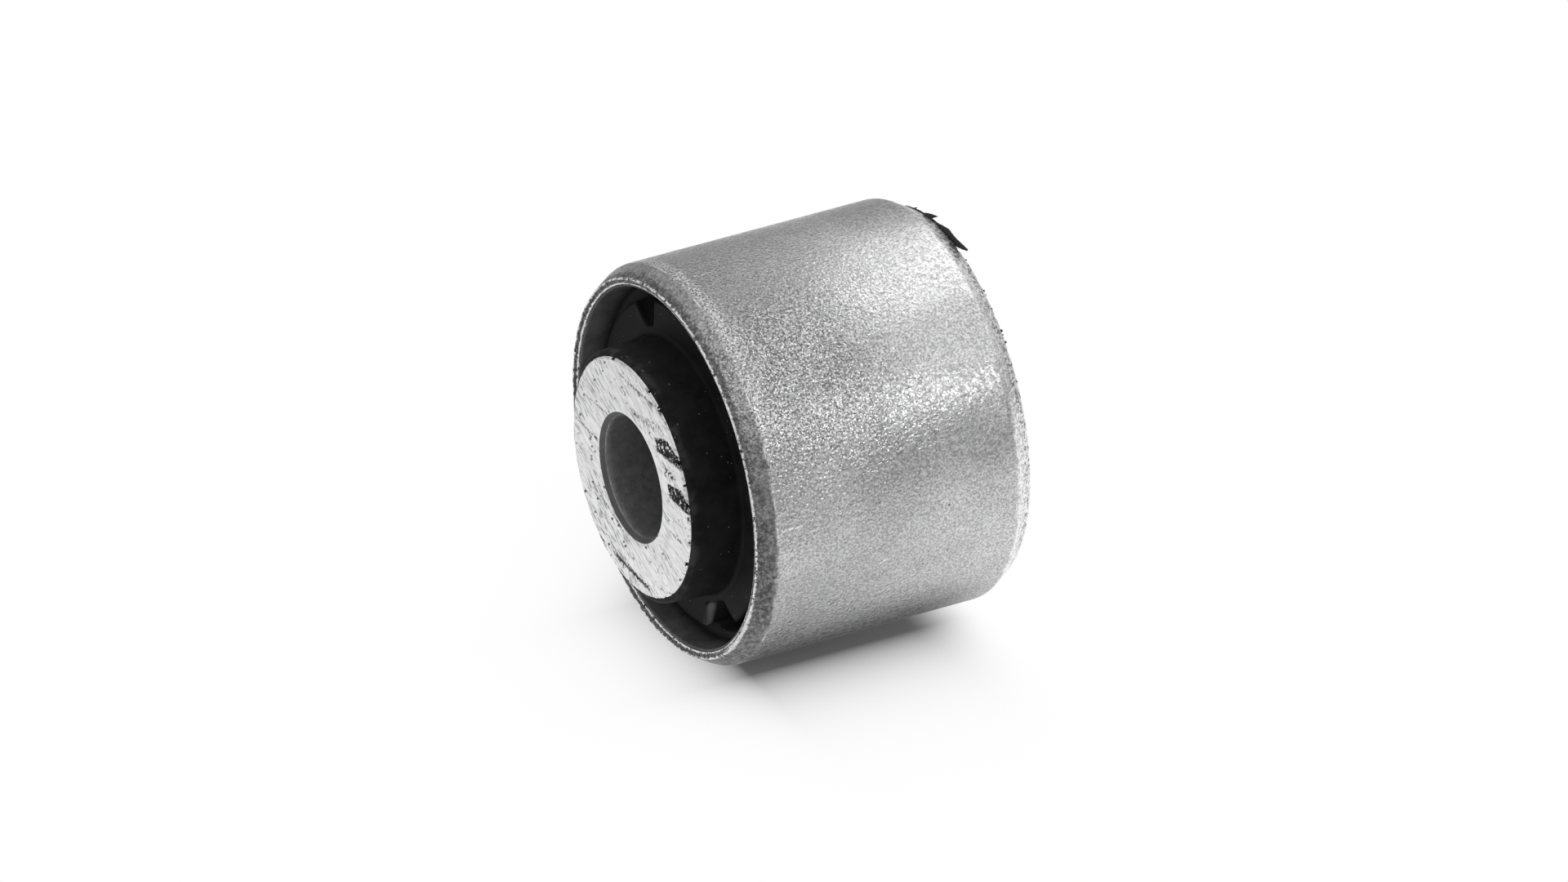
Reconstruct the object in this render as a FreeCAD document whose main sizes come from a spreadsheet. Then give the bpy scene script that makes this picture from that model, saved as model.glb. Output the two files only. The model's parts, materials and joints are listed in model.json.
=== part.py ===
import FreeCAD, Part
import math
import os
import Sketcher

# Bonded rubber metal bush, standing on the far end face of its inner sleeve.
# The bore axis is Z, the origin is the middle of the bore, and the end with the
# two moulded pockets points up. Sizes are in millimetres and degrees.

DOCUMENT = FreeCAD.newDocument("rubber_metal_bush")
SHEET = DOCUMENT.addObject("Spreadsheet::Sheet", "sizes")

DRIVING_SIZES = [
    # Inner sleeve, clamped by the bolt
    ("bore_diameter", 12.2),
    ("bore_lead_in", 0.45),
    ("inner_wall", 5.9),
    ("face_edge_break", 0.15),
    ("upper_stand_out", 3.5),
    ("lower_stand_out", 2.5),
    # Outer sleeve, pressed into its housing
    ("outer_length", 30.0),
    ("outer_wall", 1.8),
    ("rim_width", 0.65),
    ("rim_fall", 0.27),
    ("chamfer_length", 1.9),
    # Rubber between the sleeves
    ("rubber_wall", 6.2),
    # Rubber collar round the inner sleeve
    ("collar_drop", 0.25),
    ("collar_lip_wall", 0.6),
    ("collar_lip_flat", 0.1),
    ("collar_foot_wall", 0.9),
    ("collar_foot_radius", 0.4),
    # Recess between the collar and the outer sleeve: a flat land and a deeper groove
    ("land_depth", 1.95),
    ("land_edge_radius", 0.3),
    ("groove_drop", 1.7),
    ("groove_width", 1.4),
    ("groove_flat", 0.4),
    ("lining_wall", 0.5),
    ("lining_lip_wall", 0.2),
    ("lining_drop", 0.15),
    # Moulded pockets in the upper land
    ("pocket_depth", 4.5),
    ("pocket_inner_gap", 0.85),
    ("pocket_outer_gap", 1.2),
    ("upper_pocket_inner_width", 1.1),
    ("upper_pocket_outer_width", 3.9),
    ("upper_pocket_taper_length", 1.6),
    ("lower_pocket_inner_width", 3.6),
    ("lower_pocket_outer_width", 7.8),
    ("lower_pocket_taper_length", 2.4),
    # Torn flash on the far rim
    ("flash_thickness", 0.3),
    ("flash_root_depth", 0.4),
]
UPPER_POCKET_TURN = 0.0
LOWER_POCKET_TURN = 183.0

# Turn round the bore and reach past the sleeve's inner wall, along the torn edge:
# a sliver, a short flake and a long flake whose tip hangs free
FLASH_EDGE = [
    (-8.0, 0.30), (-12.0, 0.78), (-13.0, 0.42),
    (-15.5, 0.48), (-25.1, 1.28), (-22.0, 0.38),
    (-25.0, 0.46), (-29.8, 0.90), (-33.9, 1.39), (-35.2, 1.21),
    (-39.2, 1.27), (-43.4, 1.56), (-41.5, 0.91), (-37.0, 0.25),
]
FLASH_FIRST_TURN = -9.0
FLASH_LAST_TURN = -38.0
FLASH_SEAM_STEPS = 5


def fill_sheet():
    """Writes each driving size into the sheet beside its name."""
    for row, (name, value) in enumerate(DRIVING_SIZES, start=1):
        SHEET.set(f"A{row}", name)
        SHEET.set(f"B{row}", str(value))
        SHEET.setAlias(f"B{row}", name)
    DOCUMENT.recompute()


def new_body(label):
    """Makes an empty body whose label names the piece."""
    body = DOCUMENT.addObject("PartDesign::Body", label)
    body.Label = label
    return body


def new_sketch(body, name, plane_role):
    """Makes a sketch on one of the body's own origin planes."""
    planes = [plane for plane in body.Origin.OriginFeatures if plane.Role == plane_role]
    sketch = body.newObject("Sketcher::SketchObject", name)
    sketch.AttachmentSupport = [(planes[0], "")]
    sketch.MapMode = "FlatFace"
    return sketch


def value_of(expression):
    """Gives an expression's present value, so that a sketch starts where it ends up."""
    return float(getattr(SHEET.evalExpression(expression), "Value", SHEET.evalExpression(expression)))


def draw_outline(sketch, corners):
    """Draws a closed outline whose corners are pairs of expressions."""
    places = [FreeCAD.Vector(value_of(across), value_of(along), 0) for across, along in corners]
    count = len(corners)
    for index in range(count):
        sketch.addGeometry(Part.LineSegment(places[index], places[(index + 1) % count]), False)
    for index in range(count):
        next_index = (index + 1) % count
        sketch.addConstraint(Sketcher.Constraint("Coincident", index, 2, next_index, 1))
    for index, (across, along) in enumerate(corners):
        for kind, expression, value in (
            ("DistanceX", across, places[index].x),
            ("DistanceY", along, places[index].y),
        ):
            number = sketch.addConstraint(Sketcher.Constraint(kind, -1, 1, index, 1, value))
            name = f"{kind.lower()}_{index}"
            sketch.renameConstraint(number, name)
            sketch.setExpression(f"Constraints.{name}", expression)


def revolve(body, sketch, name, angle=360.0):
    """Turns a section about the bore axis."""
    turned = body.newObject("PartDesign::Revolution", name)
    turned.Profile = sketch
    turned.ReferenceAxis = (sketch, ["V_Axis"])
    turned.Angle = angle
    body.Tip = turned
    DOCUMENT.recompute()
    return turned


def ring_edges(shape, radius, heights):
    """Names the full circles of one radius at any of the heights."""
    names = []
    for number, edge in enumerate(shape.Edges, start=1):
        if not isinstance(edge.Curve, Part.Circle):
            continue
        centre = edge.Curve.Center
        same_radius = abs(edge.Curve.Radius - radius) < 1e-4
        same_height = any(abs(centre.z - height) < 1e-4 for height in heights)
        if same_radius and same_height:
            names.append(f"Edge{number}")
    return names


def round_rings(body, name, rounding_radius, ring_radius, ring_height):
    """Rounds a pair of rings, one at each end of the bush, at a height that follows from the rim's."""
    base = body.Tip
    heights = (value_of(ring_height(UPPER_RIM)), -value_of(ring_height(LOWER_RIM)))
    names = ring_edges(base.Shape, value_of(ring_radius), heights)
    if len(names) != 2:
        raise ValueError(f"{name} needs two rings and found {len(names)}")
    rounding = body.newObject("PartDesign::Fillet", name)
    rounding.Base = (base, names)
    rounding.setExpression("Radius", rounding_radius)
    body.Tip = rounding
    DOCUMENT.recompute()
    return rounding


# Radii and heights that the pieces share, as expressions of the driving sizes
BORE_RADIUS = "sizes.bore_diameter / 2"
INNER_RADIUS = f"({BORE_RADIUS} + sizes.inner_wall)"
BOND_RADIUS = f"({INNER_RADIUS} + sizes.rubber_wall)"
OUTER_RADIUS = f"({BOND_RADIUS} + sizes.outer_wall)"
FACE_HEIGHT = "(sizes.outer_length + sizes.upper_stand_out + sizes.lower_stand_out) / 2"
UPPER_RIM = f"({FACE_HEIGHT} - sizes.upper_stand_out)"
LOWER_RIM = f"({FACE_HEIGHT} - sizes.lower_stand_out)"
COLLAR_LIP_RADIUS = f"({INNER_RADIUS} + sizes.collar_lip_wall)"
COLLAR_FOOT_RADIUS = f"({INNER_RADIUS} + sizes.collar_foot_wall)"
LINING_LIP_RADIUS = f"({BOND_RADIUS} - sizes.lining_lip_wall)"
LINING_RADIUS = f"({BOND_RADIUS} - sizes.lining_wall)"
LAND_RADIUS = f"({LINING_RADIUS} - sizes.groove_width)"


def collar_height(_):
    """The collar ends a little short of the end face, wherever the rim is."""
    return f"({FACE_HEIGHT} - sizes.collar_drop)"


def rim_inner_height(rim):
    """The rim slopes down towards the rubber."""
    return f"({rim} - sizes.rim_fall)"


def lining_height(rim):
    return f"({rim_inner_height(rim)} - sizes.lining_drop)"


def land_height(rim):
    return f"({rim} - sizes.land_depth)"


def groove_height(rim):
    return f"({land_height(rim)} - sizes.groove_drop)"


def both_ends(half_section):
    """Joins a section's two halves, each listed from the bore outwards for the height of its rim."""
    lower_half = [(radius, f"-({height})") for radius, height in reversed(half_section(LOWER_RIM))]
    return half_section(UPPER_RIM) + lower_half


def make_outer_sleeve():
    """Steel tube whose ends are chamfered down to a narrow rim that slopes inwards."""
    body = new_body("outer_sleeve")
    section = new_sketch(body, "outer_section", "XZ_Plane")
    draw_outline(section, both_ends(lambda rim: [
        (BOND_RADIUS, rim_inner_height(rim)),
        (f"{BOND_RADIUS} + sizes.rim_width", rim),
        (OUTER_RADIUS, f"{rim} - sizes.chamfer_length"),
    ]))
    revolve(body, section, "outer_turned")
    return body


def make_inner_sleeve():
    """Thick steel sleeve with a plain through bore, a lead-in and a broken edge at each end."""
    body = new_body("inner_sleeve")
    section = new_sketch(body, "inner_section", "XZ_Plane")
    draw_outline(section, both_ends(lambda _: [
        (BORE_RADIUS, f"{FACE_HEIGHT} - sizes.bore_lead_in"),
        (f"{BORE_RADIUS} + sizes.bore_lead_in", FACE_HEIGHT),
        (f"{INNER_RADIUS} - sizes.face_edge_break", FACE_HEIGHT),
        (INNER_RADIUS, f"{FACE_HEIGHT} - sizes.face_edge_break"),
    ]))
    revolve(body, section, "inner_turned")
    return body


def add_rubber_section(body):
    """Moulded ring between the sleeves, recessed at both ends behind a collar."""
    section = new_sketch(body, "rubber_section", "XZ_Plane")
    draw_outline(section, both_ends(lambda rim: [
        (INNER_RADIUS, collar_height(rim)),
        (COLLAR_LIP_RADIUS, collar_height(rim)),
        (COLLAR_FOOT_RADIUS, land_height(rim)),
        (LAND_RADIUS, land_height(rim)),
        (LAND_RADIUS, groove_height(rim)),
        (LINING_RADIUS, groove_height(rim)),
        (LINING_LIP_RADIUS, lining_height(rim)),
        (BOND_RADIUS, lining_height(rim)),
    ]))
    revolve(body, section, "rubber_turned")


def round_rubber(body):
    """Rounds the collar, the land and the groove as the mould leaves them."""
    lip_round = "sizes.collar_lip_wall - sizes.collar_lip_flat"
    groove_round = "(sizes.groove_width - sizes.groove_flat) / 2"
    round_rings(body, "collar_lip_round", lip_round, COLLAR_LIP_RADIUS, collar_height)
    round_rings(body, "collar_foot_round", "sizes.collar_foot_radius", COLLAR_FOOT_RADIUS, land_height)
    round_rings(body, "land_edge_round", "sizes.land_edge_radius", LAND_RADIUS, land_height)
    round_rings(body, "groove_inner_round", groove_round, LAND_RADIUS, groove_height)
    round_rings(body, "groove_outer_round", groove_round, LINING_RADIUS, groove_height)


def turned_point(reach, aside, turn):
    """Gives the coordinates, as expressions, of a point out along a turned line and aside from it."""
    cosine = math.cos(math.radians(turn))
    sine = math.sin(math.radians(turn))
    across = f"{reach} * {cosine:.6f} - ({aside}) * {sine:.6f}"
    along = f"{reach} * {sine:.6f} + ({aside}) * {cosine:.6f}"
    return across, along


def cut_pocket(body, side, turn):
    """Cuts one blind pocket into the upper land, narrow at the collar and open to the groove."""
    inner_reach = f"({COLLAR_FOOT_RADIUS} + sizes.pocket_inner_gap)"
    shoulder_reach = f"({inner_reach} + sizes.{side}_pocket_taper_length)"
    outer_reach = f"({BOND_RADIUS} - sizes.pocket_outer_gap)"
    inner_half = f"sizes.{side}_pocket_inner_width / 2"
    outer_half = f"sizes.{side}_pocket_outer_width / 2"
    sketch = new_sketch(body, f"{side}_pocket_outline", "XY_Plane")
    sketch.setExpression("AttachmentOffset.Base.z", UPPER_RIM)
    draw_outline(sketch, [
        turned_point(inner_reach, f"-{inner_half}", turn),
        turned_point(shoulder_reach, f"-{outer_half}", turn),
        turned_point(outer_reach, f"-{outer_half}", turn),
        turned_point(outer_reach, outer_half, turn),
        turned_point(shoulder_reach, outer_half, turn),
        turned_point(inner_reach, inner_half, turn),
    ])
    before = body.Tip.Shape.Volume
    pocket = body.newObject("PartDesign::Pocket", f"{side}_pocket")
    pocket.Profile = sketch
    pocket.setExpression("Length", "sizes.land_depth + sizes.pocket_depth")
    body.Tip = pocket
    DOCUMENT.recompute()
    if pocket.Shape.Volume >= before:
        raise ValueError(f"{side} pocket cut nothing")


def add_flash_root(body):
    """Carries the far lining out past the rim over the stretch where rubber leaked."""
    section = new_sketch(body, "flash_root_section", "XZ_Plane")
    section.AttachmentOffset = FreeCAD.Placement(
        FreeCAD.Vector(), FreeCAD.Rotation(FreeCAD.Vector(0, 1, 0), FLASH_LAST_TURN))
    top = f"-({lining_height(LOWER_RIM)} - sizes.flash_root_depth)"
    bottom = f"-({LOWER_RIM} + sizes.flash_thickness)"
    draw_outline(section, [
        (LINING_LIP_RADIUS, bottom),
        (BOND_RADIUS, bottom),
        (BOND_RADIUS, top),
        (LINING_LIP_RADIUS, top),
    ])
    before = body.Tip.Shape.Volume
    root = revolve(body, section, "flash_root", FLASH_FIRST_TURN - FLASH_LAST_TURN)
    if root.Shape.Volume <= before:
        raise ValueError("the flash root added nothing")


def add_flash_skin(body):
    """Adds the skin of rubber that lies over the far rim and was torn ragged."""
    seam_radius = f"({BOND_RADIUS} - sizes.lining_lip_wall / 2)"
    step = (FLASH_LAST_TURN - FLASH_FIRST_TURN) / FLASH_SEAM_STEPS
    seam_turns = [FLASH_FIRST_TURN + step * index for index in range(FLASH_SEAM_STEPS + 1)]
    seam = [turned_point(seam_radius, "0", turn) for turn in seam_turns]
    torn_edge = [turned_point(f"({BOND_RADIUS} + {reach})", "0", turn) for turn, reach in FLASH_EDGE]
    sketch = new_sketch(body, "flash_skin_outline", "XY_Plane")
    sketch.setExpression("AttachmentOffset.Base.z", f"-({LOWER_RIM} + sizes.flash_thickness)")
    draw_outline(sketch, seam + torn_edge[::-1])
    before = body.Tip.Shape.Volume
    skin = body.newObject("PartDesign::Pad", "flash_skin")
    skin.Profile = sketch
    skin.setExpression("Length", "sizes.flash_thickness")
    body.Tip = skin
    DOCUMENT.recompute()
    if skin.Shape.Volume <= before:
        raise ValueError("the flash skin added nothing")


def make_rubber_body():
    """One moulding, bonded to both sleeves."""
    body = new_body("rubber_body")
    add_rubber_section(body)
    round_rubber(body)
    cut_pocket(body, "upper", UPPER_POCKET_TURN)
    cut_pocket(body, "lower", LOWER_POCKET_TURN)
    add_flash_root(body)
    add_flash_skin(body)
    return body


def check_and_write(bodies):
    """Stops on any failed object or shape, and then writes each piece."""
    DOCUMENT.recompute()
    for item in DOCUMENT.Objects:
        if "Invalid" in item.State or "Error" in item.State:
            raise ValueError(f"{item.Name} failed: {item.State}")
    for body in bodies:
        if body.Shape.isNull() or not body.Shape.isValid() or len(body.Shape.Solids) != 1:
            raise ValueError(f"{body.Label} is not one valid solid")
    os.makedirs("parts", exist_ok=True)
    for body in bodies:
        body.Placement = FreeCAD.Placement()
        body.Shape.exportStep(f"parts/{body.Label}.step")
        print(body.Label, round(body.Shape.Volume, 1), "mm3", body.Shape.BoundBox)


fill_sheet()
check_and_write([make_outer_sleeve(), make_rubber_body(), make_inner_sleeve()])
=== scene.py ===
import json
import math

import bpy
import numpy as np
from mathutils import Matrix, Vector, noise


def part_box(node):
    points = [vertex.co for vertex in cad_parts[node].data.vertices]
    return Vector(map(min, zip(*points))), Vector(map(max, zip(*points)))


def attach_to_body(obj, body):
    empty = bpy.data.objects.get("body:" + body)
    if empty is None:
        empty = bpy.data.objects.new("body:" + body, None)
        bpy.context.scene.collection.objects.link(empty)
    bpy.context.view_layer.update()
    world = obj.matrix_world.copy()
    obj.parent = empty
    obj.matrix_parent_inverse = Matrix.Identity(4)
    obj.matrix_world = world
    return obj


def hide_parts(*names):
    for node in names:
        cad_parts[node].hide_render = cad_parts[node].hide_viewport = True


bl_info = {
    "name": "Rubber Metal Bush",
    "version": (1, 0, 0),
    "blender": (4, 5, 0),
    "location": "3D View > Sidebar > Bush",
    "description": "Builds a bonded rubber metal bush and the studio that shows it",
    "category": "Add Mesh",
}

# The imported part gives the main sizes. Lengths are metres and turns are degrees
# round the bore, counted anticlockwise from +X as seen from +Z.
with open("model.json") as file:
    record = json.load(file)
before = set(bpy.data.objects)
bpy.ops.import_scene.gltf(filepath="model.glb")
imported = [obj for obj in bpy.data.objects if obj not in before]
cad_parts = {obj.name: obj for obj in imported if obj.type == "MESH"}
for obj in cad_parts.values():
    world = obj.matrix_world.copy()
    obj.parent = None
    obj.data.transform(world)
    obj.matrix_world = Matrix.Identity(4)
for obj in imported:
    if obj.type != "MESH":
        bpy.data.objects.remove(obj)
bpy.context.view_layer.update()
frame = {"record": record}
MM = 0.001

OUTER_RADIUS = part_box("outer_sleeve")[1].x
UPPER_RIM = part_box("outer_sleeve")[1].z
LOWER_RIM = -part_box("outer_sleeve")[0].z
HALF_SLEEVE = (UPPER_RIM + LOWER_RIM) / 2
SLEEVE_MIDDLE = (UPPER_RIM - LOWER_RIM) / 2
INNER_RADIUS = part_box("inner_sleeve")[1].x
FACE_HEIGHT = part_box("inner_sleeve")[1].z
COLLAR_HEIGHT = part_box("rubber_body")[1].z
BORE_RADIUS = frame["record"]["mounts"][0]["dims"]["r_mm"] * MM

UPPER_POCKET_TURN = 0.0
LOWER_POCKET_TURN = 183.0

# Height above or below the bore's middle at which each half of a section starts, and width of
# the small bevels at the edges of the meshes
HALF_START = 0.5 * MM
EDGE = 0.04 * MM

# Columns of the rubber's mesh: they follow a pocket's sides within a reach in degrees
POCKET_REACH = 30.0
COLUMNS_BESIDE_POCKET = 35
COLUMNS_BETWEEN_POCKETS = 110

# Rows across a pocket's end walls and columns across its side walls: place in millimetres,
# counted into the pocket for the rows and out of it for the columns, and the share of the
# pocket's depth there
POCKET_END_STEPS = ((-0.12, 0.0), (-0.06, 0.05), (-0.02, 0.3), (0.02, 0.7), (0.06, 0.95), (0.12, 1.0))
POCKET_SIDE_STEPS = ((0.13, 0.0), (0.07, 0.05), (0.025, 0.3), (-0.025, 0.7), (-0.07, 0.95), (-0.13, 1.0))

# Turn of the side that the photograph shows. The camera looks at it, and the marks below
# are counted from it: turns in degrees, lengths in millimetres.
SHOWN_TURN = 6.5 - 90.0
MM_PER_DEGREE = math.radians(OUTER_RADIUS / MM)

# Flakes of torn rubber on the lower rim, each as stations from its root to its tip:
# turn from +X and radius of the inner edge, then of the outer edge, in degrees and millimetres
FLASH_FLAKES = (
    ((-7.2, 18.14, -6.6, 18.40), (-9.2, 18.22, -8.8, 18.62), (-11.0, 18.55, -10.8, 18.84),
     (-12.6, 18.92, -12.5, 18.98)),
    ((-14.2, 18.14, -13.2, 18.40), (-17.5, 18.15, -16.6, 18.80), (-20.6, 18.40, -20.0, 19.16),
     (-23.0, 18.95, -22.6, 19.36), (-25.4, 19.42, -25.3, 19.50)),
    ((-23.0, 18.14, -22.4, 18.60), (-26.6, 18.12, -26.0, 19.00), (-30.2, 18.13, -29.6, 19.30),
     (-33.4, 18.22, -33.6, 19.62), (-36.0, 18.36, -35.6, 19.46), (-38.6, 18.62, -39.0, 19.52),
     (-41.0, 18.98, -41.5, 19.68), (-43.2, 19.42, -43.7, 19.78)),
    ((-6.4, 18.56, -6.4, 18.90), (-18.0, 18.56, -18.0, 18.95), (-30.0, 18.56, -30.0, 18.97),
     (-37.0, 18.60, -37.0, 18.74)),
)
FLAKE_ROWS = 40
FLAKE_SIDE_STEPS = 8

# Crumbs of rubber on the lower rim: turn from +X, radius and size in millimetres
RUBBER_CRUMBS = (
    (-44.6, 18.72, 0.12), (-56.8, 18.74, 0.13), (-58.3, 18.80, 0.07), (-63.0, 18.78, 0.06),
    (-70.3, 18.76, 0.15), (-71.6, 18.82, 0.08), (-73.9, 18.80, 0.12), (-86.0, 18.80, 0.06),
)
CRUMB_ROWS = 6
CRUMB_COLUMNS = 8

# Scratches on the outer sleeve: turn and height of both ends, and half width
SLEEVE_SCRATCHES = (
    ((60.0, 12.6), (58.5, 11.5), 0.13), ((58.4, 10.6), (58.2, 9.0), 0.12),
    ((58.8, 7.4), (58.6, 6.8), 0.08), ((14.9, 10.9), (11.4, 11.9), 0.10),
    ((10.2, 12.1), (5.6, 12.1), 0.10), ((-25.8, 12.3), (-26.1, 9.9), 0.17),
    ((-45.3, 1.4), (-44.1, 0.6), 0.12), ((-12.0, -4.7), (-13.2, -6.1), 0.07),
)

# Dark specks on the outer sleeve: turn, height and radius
SLEEVE_SPECKS = (
    (-63.0, 10.8, 0.16), (-47.2, -6.1, 0.18), (-31.8, -6.0, 0.20), (-88.0, 5.3, 0.2), (12.0, 3.5, 0.12),
)

# Soft patches of the outer sleeve, partly its own tone and partly painted light and shade: how
# light they are against the rest, and their limits in turn and in height, each from where the
# patch starts to where it is full
SLEEVE_PATCHES_AND_PAINTED_LIGHT = (
    (0.76, ((-4.0, 14.0), (58.0, 36.0)), ((-4.0, 2.5), (13.0, 8.5))),
    (1.10, ((-4.0, 10.0), (36.0, 24.0)), ((-2.0, -7.0),)),
    (1.24, ((-4.0, -12.0), (-46.0, -34.0)), ((2.0, 7.0),)),
    (0.84, ((32.0, 46.0),), ((-4.0, -10.0),)),
    (0.864, ((-12.0, -5.4), (10.0, 3.4)), ((-2.0, -7.0),)),
)

# Limits in turn of the band of painted glints on the wall and of the rubbed stretch of the rims
GLINT_TURNS = ((-15.0, 4.0), (56.0, 22.0))
RUBBED_TURNS = ((-84.0, -78.0), (-50.0, -57.0))

# Dark lines across the upper end face, towards the shown side and to its left: both ends,
# half width at each end and darkness
FACE_LINES = (
    ((-8.9, 7.0), (-5.4, 4.4), 0.12, 0.24, 0.9), ((-4.5, 8.4), (-1.5, 6.5), 0.10, 0.18, 0.8),
    ((4.8, 9.2), (9.6, 6.2), 0.24, 0.18, 0.9), ((3.4, 10.2), (6.6, 8.2), 0.16, 0.16, 0.7),
    ((6.2, -4.2), (8.7, -5.9), 0.12, 0.10, 0.7), ((5.8, -5.9), (7.7, -7.4), 0.10, 0.26, 0.9),
    ((-9.0, -0.1), (-6.9, -2.3), 0.34, 0.26, 0.75), ((-6.6, -2.8), (-3.9, -6.3), 0.30, 0.24, 0.7),
    ((-8.2, -6.8), (-4.4, -9.6), 0.40, 0.30, 0.95), ((-4.4, -9.6), (-2.3, -11.2), 0.30, 0.24, 0.9),
    ((1.0, -8.9), (0.1, -9.4), 0.22, 0.18, 0.6), ((4.4, 6.2), (7.6, 4.4), 0.50, 0.40, 0.6),
    ((7.9, 1.9), (12.2, -0.6), 0.40, 0.30, 1.0), ((7.8, -2.6), (11.4, -5.0), 0.40, 0.30, 1.0),
)

# Smears of rubber on the upper end face, in the same directions: corners, listed
# anticlockwise, and how torn they are
FACE_SMEARS = (
    (((7.9, 3.3), (7.7, 1.8), (12.2, -0.7), (12.4, 0.3), (10.9, 2.6)), 0.4),
    (((8.0, -1.3), (7.7, -2.8), (11.2, -5.2), (11.9, -4.3), (10.8, -2.3)), 0.4),
    (((8.2, 0.8), (8.0, -0.6), (10.4, -2.2), (10.6, -1.0)), 1.9),
    (((8.2, 5.2), (8.3, 4.2), (10.2, 3.0), (10.5, 4.0)), 2.1),
    (((-8.8, -5.9), (-8.3, -7.6), (-2.4, -11.6), (-2.6, -10.3), (-5.4, -8.2)), 1.7),
)
SAW_TURN = 30.0

# Painted highlight down the lower pocket's lit side, in the same directions and in height: both
# ends and half width at each end
POCKET_PAINTED_HIGHLIGHT = ((-3.3, -13.95, 11.9), (-5.7, -16.5, 12.2), 0.72, 0.45)

# Greys of the marks and of the painted highlight in the lower pocket, from the darkest to the palest
SMEAR_GREY = 0.012
RIM_DIRT_GREY = 0.05
PRICK_GREY = 0.05
SPECK_GREY = 0.06
LEAD_IN_GREY = 0.06
PIT_GREY = 0.07
DASH_GREY = 0.10
PAINTED_HIGHLIGHT_GREY = 0.28

# Shade on the floor, in metres from the point below the bush's middle. To the front and the
# back it halves with each step past its half width, and towards the upper rim past its end.
# Towards the lower rim it fades out, later where the steel mirrors it than where it is seen.
# Where it is mirrored, it also fades out to the sides, and behind its front edge it is faint.
SHADE_HALF_WIDTH = 8.5 * MM
SHADE_SIDE_STEP = 3.5 * MM
SHADE_UPPER_END = 9.5 * MM
SHADE_UPPER_STEP = 3.0 * MM
SHADE_LOWER_END = -8.0 * MM
SHADE_LOWER_LIMITS = (-22.0 * MM, -16.0 * MM)
MIRRORED_SIDE_FADE = (2.0 * MM, 15.0 * MM)
MIRRORED_FRONT_EDGE = (4.5 * MM, 8.5 * MM)

# The shaded floor's grey, and how the white floor dims where the steel mirrors it: between
# which distances from the shade, in metres, and to which brightness
FLOOR_GREY = 0.4
MIRRORED_FLOOR_FADE = (0.05, 0.20)
MIRRORED_FLOOR_LEVEL = 0.5

# Brightness of the walls that the steel mirrors: at the height of the bush, and from this
# height up, where 1 is straight above it
WALL_LEVELS = (0.42, 0.86)
WALL_TOP = 0.65

# Lamps: name, the point that each one faces, the way from there to the lamp, its distance,
# width, height, spread in degrees and whether the steel mirrors it. Points and ways are
# counted up from the floor, to the front and along the bore.
LAMPS = (
    ("key", (0.0, 0.0, 0.0), (0.93, -0.30, -0.20), 0.35, 0.17, 0.17, 180.0, False),
    ("near", (0.0192, 0.0055, -0.0180), (0.836, -0.371, -0.4035), 0.028, 0.036, 0.024, 90.0, True),
    ("front", (0.0112, 0.0166, 0.0060), (0.510, 0.759, -0.4035), 0.20, 0.016, 0.016, 50.0, True),
)


class BushSleeveSizes(bpy.types.PropertyGroup):
    """Sizes of the two steel sleeves."""

    outer_wall: bpy.props.FloatProperty(
        name="Outer wall", description="Wall of the outer sleeve",
        default=1.8 * MM, unit="LENGTH", precision=5)
    rim_width: bpy.props.FloatProperty(
        name="Rim width", description="Width of the rim left between the rubber and the chamfer",
        default=0.65 * MM, unit="LENGTH", precision=5)
    rim_fall: bpy.props.FloatProperty(
        name="Rim fall", description="How far the rim slopes down towards the rubber",
        default=0.27 * MM, unit="LENGTH", precision=5)
    chamfer_length: bpy.props.FloatProperty(
        name="Chamfer length", description="How far the outer chamfer runs along the sleeve",
        default=1.9 * MM, unit="LENGTH", precision=5)
    chamfer_round: bpy.props.FloatProperty(
        name="Chamfer round", description="Rounding between the chamfer and the cylinder",
        default=1.2 * MM, unit="LENGTH", precision=5)
    blast_relief: bpy.props.FloatProperty(
        name="Blast relief", description="Depth of the unevenness left by blasting",
        default=0.02 * MM, unit="LENGTH", precision=6)
    rim_wear: bpy.props.FloatProperty(
        name="Rim wear", description="Depth of the worn dimples on the outer sleeve's rims",
        default=0.05 * MM, unit="LENGTH", precision=5)
    rim_chips: bpy.props.FloatProperty(
        name="Rim chips", description="Depth of the chips in the outer sleeve's rims",
        default=0.18 * MM, unit="LENGTH", precision=5)
    bore_lead_in: bpy.props.FloatProperty(
        name="Bore lead-in", description="Chamfer at the mouth of the bolt bore",
        default=0.45 * MM, unit="LENGTH", precision=5)
    face_edge_break: bpy.props.FloatProperty(
        name="Face edge break", description="Broken outer edge of the inner sleeve's end face",
        default=0.15 * MM, unit="LENGTH", precision=5)
    face_waves: bpy.props.FloatProperty(
        name="Face waves", description="Depth of the unevenness of the inner sleeve's end faces",
        default=0.02 * MM, unit="LENGTH", precision=5)
    face_nicks: bpy.props.FloatProperty(
        name="Face nicks", description="Depth of the nicks in the end faces' outer edge",
        default=0.13 * MM, unit="LENGTH", precision=5)
    around: bpy.props.IntProperty(
        name="Columns", description="Columns of faces round each sleeve", default=600, min=48)


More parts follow.
